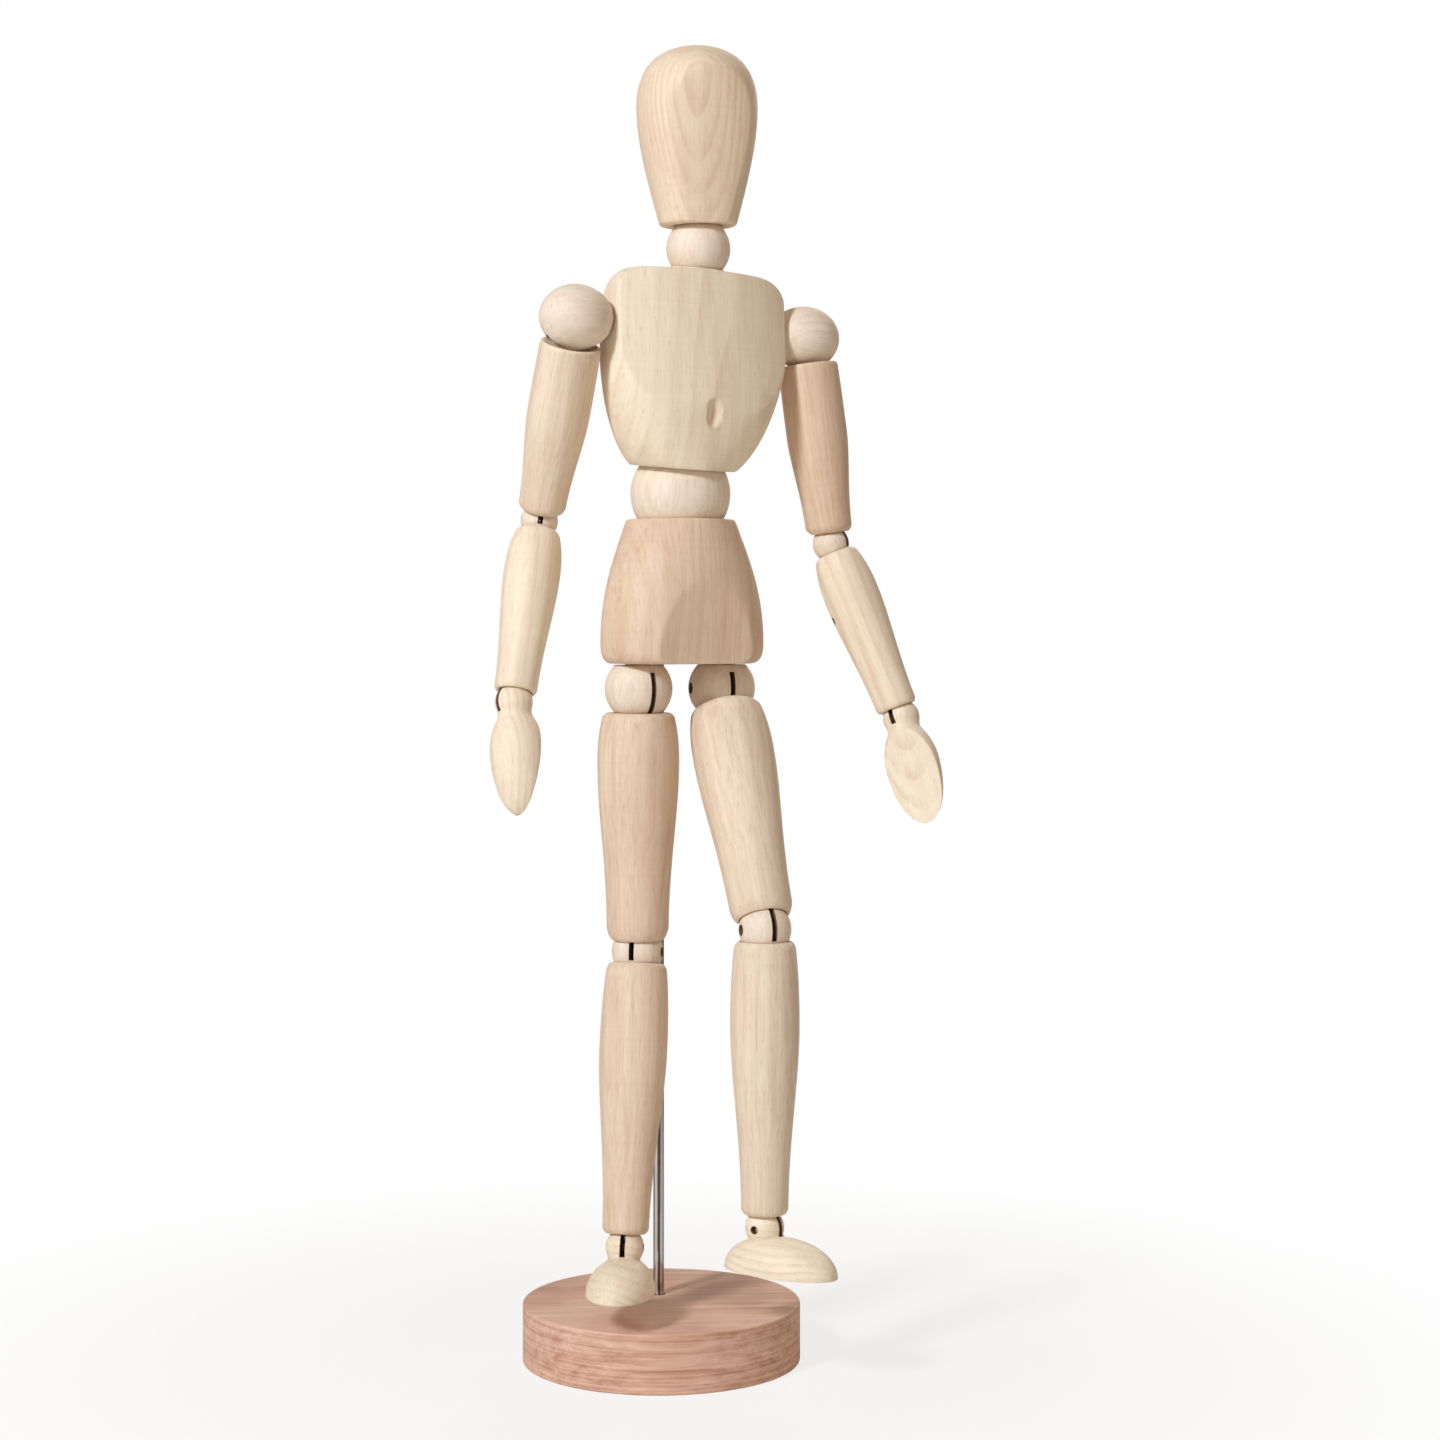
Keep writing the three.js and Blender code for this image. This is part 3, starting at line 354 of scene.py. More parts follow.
def makeWood(name, s):
    material, tree, shader = newMaterial(name)
    grain = addNode(tree, "ShaderNodeAttribute", attribute_name="grain").outputs["Vector"]
    plank, edgeSharpness, tan = (
        addNode(tree, "ShaderNodeAttribute", attribute_name=mark).outputs["Fac"]
        for mark in ("plank", "sharpEdge", "tan")
    )
    scales = markScales
    fine = s["fineness"]

    def marks(scale, detail=2.0, roughness=0.5, seed=plank, output="Fac"):
        inputs = {"Vector": stretched(tree, grain, scale), "W": seed, "Scale": 1.0}
        inputs.update({"Detail": detail, "Roughness": roughness})
        return addNode(tree, "ShaderNodeTexNoise", inputs, noise_dimensions="4D").outputs[output]

    # growth rings round the pith, wandering a little along the timber
    wander = marks(scales["wander"], 1.5, output="Color")
    shift = vectorMaths(tree, "MULTIPLY_ADD", wander, (s["wander"], s["wander"], 0.0), grain)[0]
    across = vectorMaths(tree, "LENGTH", stretched(tree, shift, (1, 1, s["taper"])))["Value"]
    year = maths(tree, "FRACT", maths(tree, "DIVIDE", across, s["ringWidth"]))
    late = maths(tree, "MULTIPLY", remap(tree, year, 0.35, 0.9), remap(tree, year, 0.92, 1.0, 1.0, 0.0))
    rings = maths(tree, "MULTIPLY", late, remap(tree, marks(scales["year"], 1.0), 0.35, 0.68, 0.2, 1.0))

    # fine fibre, pores, longer streaks, a few dark flecks, the tone of the plank and marks left by the lathe
    fibre = marks((fine, fine, fine * scales["fibreAlong"]), 3.0, 0.6)
    poreAcross = fine * scales["poreAcross"]
    pores = marks((poreAcross, poreAcross, fine * scales["poreAlong"]), 1.0)
    fleck = remap(tree, marks(scales["dash"], 0.0, 0.4), s["fleckFrom"], s["fleckFrom"] + 0.06)
    depth = maths(tree, "MULTIPLY", rings, s["ringAmount"])
    for value, low, high, amount in (
        (fibre, 0.32, 0.68, "fibreAmount"), (pores, 0.5, 0.72, "poreAmount"),
        (marks(scales["streak"], 2.5, 0.6), 0.36, 0.66, "streakAmount"),
        (marks(scales["tone"]), 0.3, 0.7, "toneAmount"),
        (marks(s["turnedAcross"], 3.0, 0.65), 0.36, 0.66, "turnedAmount"),
    ):
        mark = maths(tree, "MULTIPLY", remap(tree, value, low, high), s[amount])
        depth = maths(tree, "ADD", depth, mark, clamp=True)
    blush = marks(scales["blush"], seed=maths(tree, "ADD", plank, 40.0))
    colour = blendColour(tree, depth, s["light"], s["dark"])
    # tan darkens each piece: timber tone, and painted shade on the pelvis, the right thigh and the left upper arm
    for amount, share, shade in (
        (remap(tree, blush, 0.42, 0.72), "flushAmount", "flush"), (tan, None, "tannedAndShaded"),
        # the edge tint, laid on sharp edges and creases
        (fleck, "fleckAmount", "fleck"), (edgeSharpness, "edgeSharpnessAmount", "edgeTint"),
    ):
        if share:
            amount = maths(tree, "MULTIPLY", amount, s[share])
        colour = blendColour(tree, amount, colour, s[shade], "MIX" if share else "MULTIPLY")
    rough = remap(tree, fibre, 0.25, 0.75, s["roughness"] - 0.07, s["roughness"] + 0.07, False)
    height = maths(tree, "SUBTRACT", maths(tree, "MULTIPLY", fibre, 0.6), maths(tree, "MULTIPLY", pores, 0.5))
    height = maths(tree, "SUBTRACT", height, maths(tree, "MULTIPLY", rings, 0.25))
    feed(tree, shader, {
        "Base Color": colour, "Roughness": rough, "Specular IOR Level": s["specular"],
        "Normal": bumped(tree, height, s["bumpStrength"], s["bumpDepth"]),
    })
    return material


paleTimber = dict(
    light=(0.91, 0.825, 0.675), dark=(0.66, 0.485, 0.34), flush=(0.76, 0.57, 0.45), tannedAndShaded=(0.82, 0.69, 0.60),
    fleck=(0.47, 0.31, 0.21), edgeTint=(0.66, 0.5, 0.37), ringWidth=3.1, wander=7.0, taper=0.03, fineness=1.7,
    ringAmount=0.22, fibreAmount=0.24, poreAmount=0.26, streakAmount=0.22, toneAmount=0.12, flushAmount=0.22,
    fleckFrom=0.76, fleckAmount=0.25, edgeSharpnessAmount=0.3, turnedAcross=(0.04, 0.04, 1.6), turnedAmount=0.06,
    roughness=0.55, specular=0.3, bumpStrength=0.3, bumpDepth=0.05,
)
smoothTimber = dict(
    paleTimber, light=(0.96, 0.87, 0.69), fibreAmount=0.13, poreAmount=0.16, streakAmount=0.14, ringAmount=0.28,
)
ringedTimber = dict(smoothTimber, ringWidth=1.5, wander=5.0, ringAmount=0.3)
ballTimber = dict(
    paleTimber, light=(0.90, 0.825, 0.70), dark=(0.70, 0.535, 0.41), ringWidth=2.0, ringAmount=0.24, streakAmount=0.14,
)
baseTimber = dict(
    paleTimber, light=(0.89, 0.63, 0.485), dark=(0.49, 0.25, 0.165), flush=(0.64, 0.35, 0.245),
    fleck=(0.33, 0.16, 0.11), edgeTint=(0.76, 0.53, 0.42), ringWidth=4.2, wander=12.0, taper=0.05, fineness=1.3,
    ringAmount=0.2, fibreAmount=0.16, streakAmount=0.26, poreAmount=0.12, toneAmount=0.08, flushAmount=0.3,
    fleckAmount=0.3, roughness=0.5, edgeSharpnessAmount=0.4, turnedAcross=(1.5, 0.03, 0.03), turnedAmount=0.5,
)
# Inside saw slots and drilled holes: cut grain a little darker, painted near black as shade
sawnAndShadedTimber = dict(
    paleTimber, light=(0.22, 0.13, 0.075), dark=(0.09, 0.05, 0.03), flush=(0.15, 0.08, 0.045), fleck=(0.05, 0.03, 0.02),
    edgeTint=(0.26, 0.16, 0.1), roughness=0.85, specular=0.15, bumpStrength=0.8,
)
sawnAndShadedWood = makeWood("sawnAndShadedWood", sawnAndShadedTimber)
paleWood, smoothWood, ringedWood, ballWood, baseWood = (
    {"material": makeWood(name, timber), "slot": slot} for name, timber, slot in (
        ("paleWood", paleTimber, "pale_wood"), ("smoothWood", smoothTimber, "pale_wood"),
        ("ringedWood", ringedTimber, "pale_wood"), ("ballWood", ballTimber, "ball_wood"),
        ("baseWood", baseTimber, "base_wood"),
    )
)


def makeSteel(name, s):
    material, tree, shader = newMaterial(name)
    where = addNode(tree, "ShaderNodeTexCoord").outputs["Object"]

    def marks(scale, detail):
        inputs = {"Vector": stretched(tree, where, scale), "Scale": 1.0, "Detail": detail}
        return addNode(tree, "ShaderNodeTexNoise", inputs).outputs["Fac"]

    # The base colour mix: on the rod pale and near-black streaks along its length, a painted reflection; on pins and
    # wire a random mottle
    drawn = marks(s["drawnAlong"], 3.0)
    shade = remap(tree, marks(s["darkReflectionAndMottleAlong"], 2.0), s["darkReflectionAndMottleFrom"], s["darkReflectionAndMottleTo"])
    rough = remap(tree, drawn, 0.3, 0.7, s["smooth"], s["rough"])
    feed(tree, shader, {
        "Metallic": 1.0, "Base Color": blendColour(tree, shade, s["bright"], s["darkReflectionAndMottle"]),
        "Roughness": maths(tree, "ADD", rough, maths(tree, "MULTIPLY", shade, 0.08)),
        "Normal": bumped(tree, drawn, s["bumpStrength"], 0.01),
    })
    return material


# The rod's near-black and pale streaks are painted reflections
rodFinish = dict(
    bright=(0.66, 0.66, 0.67), darkReflectionAndMottle=(0.05, 0.05, 0.05), smooth=0.06, rough=0.12, darkReflectionAndMottleAlong=(1300, 1300, 3),
    darkReflectionAndMottleFrom=0.41, darkReflectionAndMottleTo=0.53, drawnAlong=(9000, 9000, 60), bumpStrength=0.03,
)
pinFinish = dict(
    rodFinish, bright=(0.42, 0.40, 0.38), darkReflectionAndMottle=(0.20, 0.17, 0.15), smooth=0.3, rough=0.45, darkReflectionAndMottleAlong=(700, 700, 700),
    darkReflectionAndMottleFrom=0.35, darkReflectionAndMottleTo=0.7, drawnAlong=(2500, 2500, 2500), bumpStrength=0.25,
)
wireFinish = dict(
    pinFinish, bright=(0.55, 0.55, 0.55), darkReflectionAndMottle=(0.36, 0.35, 0.34), smooth=0.2, rough=0.35,
)
rodSteel = makeSteel("rodSteel", rodFinish)
pinSteel = makeSteel("pinSteel", pinFinish)
wireSteel = makeSteel("wireSteel", wireFinish)
print("materials made")


# Base and rod
baseSizes = dict(radius=31.5, thickness=13.2, edge=0.55, rodHole=1.55, rodDepth=10.3, grainTurn=-24.0)
rodSizes = dict(radius=1.25, ease=0.5)


# a round bar or disc with eased edges
def bar(r, ease, low, high, corner, foot, side, lid):
    return (
        bezier(foot, (0, low), (r - ease, low))
        + bezier(corner, (r - ease, low), (r, low), (r, low + ease))[1:]
        + bezier(side, (r, low + ease), (r, high - ease))[1:]
        + bezier(corner, (r, high - ease), (r, high), (r - ease, high))[1:]
        + bezier(lid, (r - ease, high), (0, high))[1:]
    )


s = baseSizes
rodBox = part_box("support_rod")
rodX = (rodBox[0][0] + rodBox[1][0]) / 2 / mm
rodY = (rodBox[0][1] + rodBox[1][1]) / 2 / mm
baseOutline = bar(s["radius"], s["edge"], 0, s["thickness"], 6, 16, 10, 24)
grainTurn = Matrix.Rotation(math.radians(s["grainTurn"]), 4, "Z")
rodSeat = grainTurn.inverted() @ Vector((rodX, rodY, s["thickness"]))
woodPiece(
    "base", spin(baseOutline, 160), grainTurn @ Matrix.Scale(mm, 4), baseWood, (2.0, 26.0),
    [holeCutter(rodSeat - Vector((0, 0, s["rodDepth"])), rodSeat + Vector((0, 0, 2)), s["rodHole"])],
    grainAlong="x", body="stand",
)
rodEnds = (rodBox[0][2] / mm, rodBox[1][2] / mm)
rodMesh = spin(bar(rodSizes["radius"], rodSizes["ease"], *rodEnds, 5, 1, 40, 1), 40)
rodMesh.materials.append(rodSteel)
showPiece(
    "support_rod", rodMesh, Matrix.Translation((rodX * mm, rodY * mm, 0)) @ Matrix.Scale(mm, 4),
    "stand", "bright_steel",
)
print("base and rod made")


# Trunk
pelvisSizes = dict(
    height=32.5, halfWidth=18.9, halfDepth=14.5, corner=3.0, archHeight=20.0, archDepth=2.4, archLean=1.8,
    cup=11.6, show=5.85, rimWood=1.9, bore=2.9, softness=0.12, hipShow=5.6, rodSetback=10.6, pinHeight=19.6,
    spigotHole=3.3, spigotDepth=10.3, flatFront=0.5, rodHole=1.55, rodDepth=16.3, pinHole=1.1, pin=0.8,
)
chestSizes = dict(
    height=45.0, halfWidth=22.2, halfDepth=14.0, flatFront=1.0, crown=0.8, sideFlat=1.1, shoulderHeight=31.7,
    flatTilt=12.5, flatFoot=13.4, flatInset=0.3, flatRound=54.0, dimpleWidth=1.9, dimpleHeight=3.3, dimpleDepth=1.25,
    dimpleAt=12.9, cup=11.6, show=5.85, mouth=5.6, rimWood=1.9, neckCup=7.5, neckShow=4.4, bore=2.9, boreTop=14,
    neckBoreDepth=12, drill=2.85, drillFrom=10, drillTo=36, shoulderBore=2.5, softness=0.2,
)
headSizes = dict(
    height=40.26, radius=13.65, widestAt=26.5, cup=7.5, show=5.1, mouth=3.8, rimWood=2.4, ease=1.0, chinDepth=8.1,
    browDepth=12.6, faceTurn=12.0, faceRound=30.0, bore=2.6, softness=0.28, pinHeight=24.0, pinHole=0.9, pin=0.6,
    nod=5.5,
)
ballSizes = dict(waist=11.3, neck=7.2, bore=2.4)


def ovalDepth(reach, rim, sizes):
    if reach < rim:
        return reach
    return rim + (reach - rim) * (sizes["halfDepth"] - rim) / (sizes["halfWidth"] - rim)


# The cross section is round at the waist and grows oval, with a flatter front than back.
def oval(p, rim, sizes):
    reach = math.hypot(p.x, p.y)
    if reach < 1e-6:
        return p.copy()
    across, forward = p.x / reach, p.y / reach
    squareness = 2.0
    if p.y < 0:
        squareness += sizes["flatFront"] * min(1.0, max(0.0, (reach - rim) / (sizes["halfWidth"] - rim)))
    swell = (abs(across) ** squareness + abs(forward) ** squareness) ** (-1 / squareness)
    return Vector((across * reach * swell, forward * ovalDepth(reach, rim, sizes) * swell, p.z))


def makePelvis(s):
    cupRim = rimReach(s)
    rim = cupRim + s["rimWood"]
    top = s["height"]
    wide, corner, bore, floor = s["halfWidth"], s["corner"], s["bore"], s["pinHeight"] - 3
    neckline = (rim + 1.2, top - 2)
    outline = (
        bezier(26, (0, 0), (wide - corner, 0))
        + bezier(14, (wide - corner, 0), (wide, 0), (wide, corner * 1.5))[1:]
        + bezier(
            70, (wide, corner * 1.5), (wide, top * 0.5), (mix(neckline[0], wide, 0.45), top * 0.72), neckline)[1:]
        + bezier(10, neckline, (rim + 0.5, top), (rim, top))[1:]
        + bezier(3, (rim, top), (cupRim, top))[1:]
        + bowl(top + s["show"], s["cup"], cupRim, bore, -1, 14)[1:]
        + [(bore, floor), (0, floor)]
    )
    tilt = math.atan(s["archLean"] / s["archHeight"])
    normal = Vector((0, -math.cos(tilt), -math.sin(tilt)))
    reach = Vector((0, -s["halfDepth"] + s["archDepth"], 0)).dot(normal)

    def bend(p):
        q = oval(p, rim, s)
        if math.hypot(q.x, q.y) < s["cup"] and q.z > s["height"] * 0.7:
            return q
        return planeOff(q, normal, reach, s["softness"])

    return spin(outline, 200, bend)


def makeChest(s):
    cupRim = rimReach(s)
    rim = cupRim + s["rimWood"]
    neckRim = math.sqrt(s["neckCup"] ** 2 - s["neckShow"] ** 2)
    wide, top, shoulder = s["halfWidth"], s["height"], s["shoulderHeight"]
    brim = (wide * 0.64, top - s["crown"])
    outline = (
        [(0, s["boreTop"]), (s["bore"], s["boreTop"])]
        + bowl(-s["show"], s["cup"], s["mouth"], cupRim, 1, 12)
        + bezier(3, (cupRim, 0), (rim, 0))[1:]
        + bezier(
            84, (rim + 0.5, 0.3), (mix(rim, wide, 0.56), shoulder * 0.16), (wide, shoulder * 0.54), (wide, shoulder))
        + bezier(
            54, (wide, shoulder), (wide, mix(shoulder, top, 0.45)), (wide * 0.99, top - s["crown"] * 2.4), brim)[1:]
        + bezier(12, brim, (neckRim, top - 0.2))[1:]
        + bowl(top + s["neckShow"], s["neckCup"], neckRim, s["bore"], -1, 8)
        + [(s["bore"], top - s["neckBoreDepth"]), (0, top - s["neckBoreDepth"])]
    )
    tilt = math.radians(s["flatTilt"])
    normal = Vector((0, -math.cos(tilt), math.sin(tilt)))
    foot = Vector((0, -s["halfDepth"] + s["flatInset"], s["flatFoot"]))
    reach = foot.dot(normal)

    def bend(p):
        q = oval(p, rim, s)
        if math.hypot(q.x, q.y) < s["cup"] and q.z < 5:
            return q
        if math.hypot(q.x, q.y) < s["neckCup"] and q.z < top - 1 and q.z > top - 14:
            return q
        q = planeOff(q, normal, reach - q.x * q.x / (2 * s["flatRound"]), s["softness"])
        flat = overrun(abs(q.x) - (wide - s["sideFlat"]), 0.2)
        q.x -= math.copysign(flat, q.x)
        if q.y < 0:
            spread = (q.x / s["dimpleWidth"]) ** 2 + ((q.z - s["dimpleAt"]) / s["dimpleHeight"]) ** 2
            if spread < 1:
                q.y += s["dimpleDepth"] * (1 - spread) ** 0.8
        return q

    return spin(outline, 240, bend)


def makeHead(s):
    cupRim = rimReach(s)
    under = cupRim + s["rimWood"]
    ease = s["ease"]
    jaw = (under + ease, ease)
    r, widest, top = s["radius"], s["widestAt"], s["height"]
    dome = top - widest
    outline = (
        [(0, s["pinHeight"] + 3), (s["bore"], s["pinHeight"] + 3)]
        + bowl(-s["show"], s["cup"], s["mouth"], cupRim, 1, 8)
        + bezier(4, (cupRim, 0), (under, 0))[1:]
        + bezier(8, (under, 0), (under + ease * 0.8, 0), jaw)[1:]
        + bezier(60, jaw, (mix(jaw[0], r, 0.55), widest * 0.4), (r, widest * 0.72), (r, widest))[1:]
        + bezier(50, (r, widest), (r, widest + dome * 0.65), (r * 0.65, top), (0, top))[1:]
    )
    chin, brow = s["chinDepth"], s["browDepth"]
    line = bezier(80, (chin - 0.8, -2), (mix(chin, brow, 0.75), top * 0.42), (brow, top + 2))

    def faceDepth(z):
        for a, b in zip(line, line[1:]):
            if z <= b.y:
                return mix(a.x, b.x, (z - a.y) / (b.y - a.y))
        return line[-1].x

    turn = math.radians(s["faceTurn"])
    facing = Vector((math.sin(turn), -math.cos(turn), 0))
    sideways = Vector((math.cos(turn), math.sin(turn), 0))

    def bend(p):
        if math.hypot(p.x, p.y) < s["bore"] + 0.1:
            return p
        return planeOff(p, facing, faceDepth(p.z) - p.dot(sideways) ** 2 / (2 * s["faceRound"]), s["softness"])

    return spin(outline, 200, bend)


def boredBall(radius, bore):
    low = math.acos(bore / radius)
    arc = ballArc(radius, -low, low, 56)
    return spin(arc + arc[:1], 96)


s = pelvisSizes
hips = (jointPoint("left_hip_turn") + jointPoint("right_hip_turn")) / 2
hipSpread = (jointPoint("left_hip_turn") - hips).length / mm
pelvisPlace = placeAt(hips + Vector((0, 0, s["hipShow"] * mm)), Vector((0, 0, 1)), Vector((1, 0, 0)))
cutters = [
    holeCutter((0, s["rodSetback"], -2), (0, s["rodSetback"], s["rodDepth"]), s["rodHole"]),
    holeCutter((0, 4, s["pinHeight"]), (0, 30, s["pinHeight"]), s["pinHole"]),
]
for x in (-hipSpread, hipSpread):
    cutters.append(holeCutter((x, 0, -2), (x, 0, s["spigotDepth"]), s["spigotHole"]))
# its tan of 0.65 darkens the pelvis as painted shade
woodPiece("pelvis", makePelvis(s), pelvisPlace, paleWood, (13, 22), cutters, tan=0.65, depthScale=0.3)
waist, neck = jointPoint("waist_bend"), jointPoint("neck_nod")
chestUp = neck - waist
chestPlace = placeAt(waist, chestUp, jointAxis("waist_bend"))
chestLift = Matrix.Translation((0, 0, chestSizes["show"]))
s = chestSizes
cutters = [
    holeCutter((-40, 0, s["shoulderHeight"]), (40, 0, s["shoulderHeight"]), s["shoulderBore"]),
    holeCutter((0, 0, s["drillFrom"]), (0, 0, s["drillTo"]), s["drill"]),
]
woodPiece("chest", makeChest(s), chestPlace @ chestLift, smoothWood, (-17, 24), cutters, tan=0.0, depthScale=0.25)
headUp = Matrix.Rotation(math.radians(-headSizes["nod"]), 3, jointAxis("neck_nod")) @ jointAxis("neck_turn")
headPlace = placeAt(neck, headUp, jointAxis("neck_nod"))
headLift = Matrix.Translation((0, 0, headSizes["show"]))
s = headSizes
cutters = [holeCutter((0, 4, s["pinHeight"]), (0, 30, s["pinHeight"]), s["pinHole"])]
woodPiece("head", makeHead(s), headPlace @ headLift, ringedWood, (-2.0, 18.5), cutters, tan=0.45)
for name, point, twist, pith in (("waist", waist, "waist_twist", (12, 9)), ("neck", neck, "neck_turn", (6, 11))):
    place = placeAt(point, jointAxis(twist), Vector((1, 0, 0)))
    woodPiece(name + "_ball", boredBall(ballSizes[name], ballSizes["bore"]), place, ballWood, pith)
print("trunk made")


# Limbs; coilGaps are the lengths from the upper and the lower pin to the spring's coil
limbSizes = dict(
    upperArm=dict(
        length=47.8, belly=7.0, bellyAt=22.0, bore=2.2, relief=True, coilGaps=(12.3, 8.2), hooks=(bigHook, littleHook),
        top=dict(cup=8.6, show=6.2, wall=0.5, ease=0.4, easeLength=0.8),
        foot=dict(cup=4.5, show=2.5, wall=0.6, ease=1.0, easeLength=1.5),
    ),
    forearm=dict(
        length=43.2, belly=6.36, bellyAt=13.0, bore=2.2, pinAt=17.0, pinTurn=37, coilGaps=(4, 7.2),
        hooks=(littleHook, littleHook),
        top=dict(cup=4.5, show=2.5, wall=0.6, ease=0.9, easeLength=1.4),
        foot=dict(cup=4.5, show=2.4, wall=0.4, ease=0.55, easeLength=0.9),
    ),
    thigh=dict(
        length=59.0, belly=9.2, bellyAt=16.5, bore=2.9, relief=True, coilGaps=(11.6, 9.8), hooks=(bigHook, bigHook),
        top=dict(cup=7.9, show=5.4, wall=1.3, ease=1.1, easeLength=1.1),
        foot=dict(cup=6.1, show=2.7, wall=0.3, ease=1.2, easeLength=2.8),
    ),
    shin=dict(
        length=65.0, belly=7.6, bellyAt=21.0, bore=2.2, pinAt=24.0, coilGaps=(4, 7.3), hooks=(littleHook, littleHook),
        top=dict(cup=6.1, show=2.6, wall=0.3, ease=1.0, easeLength=1.6),
        foot=dict(cup=4.6, show=2.9, wall=0.7, ease=0.9, easeLength=1.2),
    ),
)
reliefSlope = math.tan(math.radians(40))
pinHole = 0.9
blindBore, reliefTop = 14, 12


# The rim at a limb's end, from the edge of its cup out to where the limb's side begins
def limbEnd(end, rim, towards):
    outer, ease, rise = rimReach(end) + end["wall"], end["ease"], towards * end["easeLength"]
    turn = (outer + ease * 0.72, rim + rise * 0.28)
    flat = bezier(3, (rimReach(end), rim), (outer, rim))
    return flat + bezier(8, (outer, rim), turn, (outer + ease, rim + rise))[1:]


def makeLimb(s):
    top, foot, length, belly, bore = s["top"], s["foot"], s["length"], s["belly"], s["bore"]
    topEnd, footEnd = limbEnd(top, -top["show"], -1), limbEnd(foot, foot["show"] - length, 1)
    upper, lower, widest = topEnd[-1], footEnd[-1], Vector((belly, -s["bellyAt"]))
    through = "pinAt" not in s
    outline = (
        bowl(0, top["cup"], bore if through else 0.0, rimReach(top), -1, 12)
        + topEnd[1:]
        + bezier(
            34, upper, (mix(upper.x, belly, 0.7), mix(upper.y, widest.y, 0.3)),
            (belly, mix(upper.y, widest.y, 0.6)), widest)[1:]
        + bezier(
            50, widest, (belly, mix(widest.y, lower.y, 0.3)),
            (mix(lower.x, belly, 0.05), mix(widest.y, lower.y, 0.6)), lower)[1:]
        + footEnd[-2::-1]
        + bowl(-length, foot["cup"], rimReach(foot), bore, 1, 10)[1:]
    )
    if through:
        outline.append(outline[0])
    else:
        outline += [(bore, blindBore - length), (0, blindBore - length)]

    def bend(p):
        q = p.copy()
        if s.get("relief") and q.y > 0 and q.z < reliefTop - length and math.hypot(q.x, q.y) > bore + 0.1:
            q.z += overrun(-length + q.y * reliefSlope - q.z, 0.12)
        return q

    return spin(outline, 112, bend)


# The saw slot for a spring's hook, and the pin's blind hole
def sawAndDrill(radius, hole, floor, pinAxis):
    near, far = radius + 0.1, radius * 3
    wide = Vector((slotHalf, near, 0)) if abs(pinAxis.x) > 0.5 else Vector((near, slotHalf, 0))
    return [
        boxCutter((-wide.x, -wide.y, floor), (wide.x, wide.y, far)),
        holeCutter(pinAxis * (pinSkin - radius), pinAxis * far, hole),
    ]


def peggedBall(radius):
    peg = radius * 0.45
    pegFoot = -radius - 2 * peg * 1.35
    arc = ballArc(radius, -math.acos(peg / radius), math.pi / 2, 46)
    return spin([(0, pegFoot), (peg, pegFoot)] + arc, 72)


hipSizes = dict(radius=7.6, crown=5.3, bridge=1.6, spigot=3.0, spigotTop=15.3, hole=1.3)
shoulderSizes = dict(
    radius=7.25, outward=8.3, inward=8.6, seat=7.9, slotHalf=1.25, slotOut=6.47, room=2.2, bore=2.5, hole=1.1,
)
handSizes = dict(
    ball=4.2, hole=0.9, slotFloor=-2.0, length=25.5, radius=6.2, widestAt=11.6, neck=3.3, neckEase=1.1,
    palmAtWrist=4.4, palmAtTip=-1.3, leftPalmTurn=16.0, rightPalmTurn=-6.0, softness=0.12,
)
footSizes = dict(
    ball=4.3, hole=0.9, slotFloor=-2.0, length=27.6, halfWidth=7.5, heel=9.3, soleDepth=9.2, soleUnder=0.1,
    meltStep=0.3, meltRounds=16,
)
smallBalls = dict(
    elbow=dict(radius=4.2, hole=0.9, slotFloor=-2.0),
    knee=dict(radius=5.8, hole=1.25, slotFloor=-2.2),
)


def makeHipBall(s, pinAxis):
    arc = ballArc(s["radius"], -math.pi / 2, math.asin(s["crown"] / s["radius"]), 44)
    spigot = [(s["spigot"], s["crown"]), (s["spigot"], s["spigotTop"]), (0, s["spigotTop"])]
    cutters = [
        boxCutter((-slotHalf, -20, -20), (slotHalf, 20, s["crown"] - s["bridge"])),
        holeCutter(pinAxis * (pinSkin - s["radius"]), pinAxis * 20, s["hole"]),
    ]
    return spin(arc + spigot, 96), cutters


def makeShoulderBall(s, side):
    low = -math.asin(s["seat"] / s["inward"])
    outline = [(0, -s["seat"])] + bezier(4, (1, -s["seat"]), (s["radius"] * math.cos(low) - 0.01, -s["seat"]))
    rows = 52
    for i in range(rows + 1):
        angle = mix(low, math.pi / 2, i / rows)
        length = s["inward"] if angle < 0 else s["outward"]
        outline.append((s["radius"] * math.cos(angle) if i < rows else 0.0, length * math.sin(angle)))
    mesh = spin(outline, 96)
    mesh.transform(Matrix.Rotation(side * math.pi / 2, 4, "Y"))
    xs = sorted((-side * s["room"], side * s["slotOut"]))
    cutters = [
        boxCutter((xs[0], -s["slotHalf"], -20), (xs[1], s["slotHalf"], s["room"])),
        holeCutter((0, 0, 0), (-side * 20, 0, 0), s["bore"]),
        holeCutter((0, pinSkin - s["radius"], 0), (0, 20, 0), s["hole"]),
    ]
    return mesh, cutters


# Rounds off a corner of an outline.
def easeCorner(outline, height, span):
    line = [p.copy() for p in outline]
    for _ in range(30):
        last = [p.copy() for p in line]
        for i in range(1, len(line) - 1):
            if abs(last[i].y - height) < span:
                line[i] = (last[i - 1] + last[i + 1]) / 2
    return line


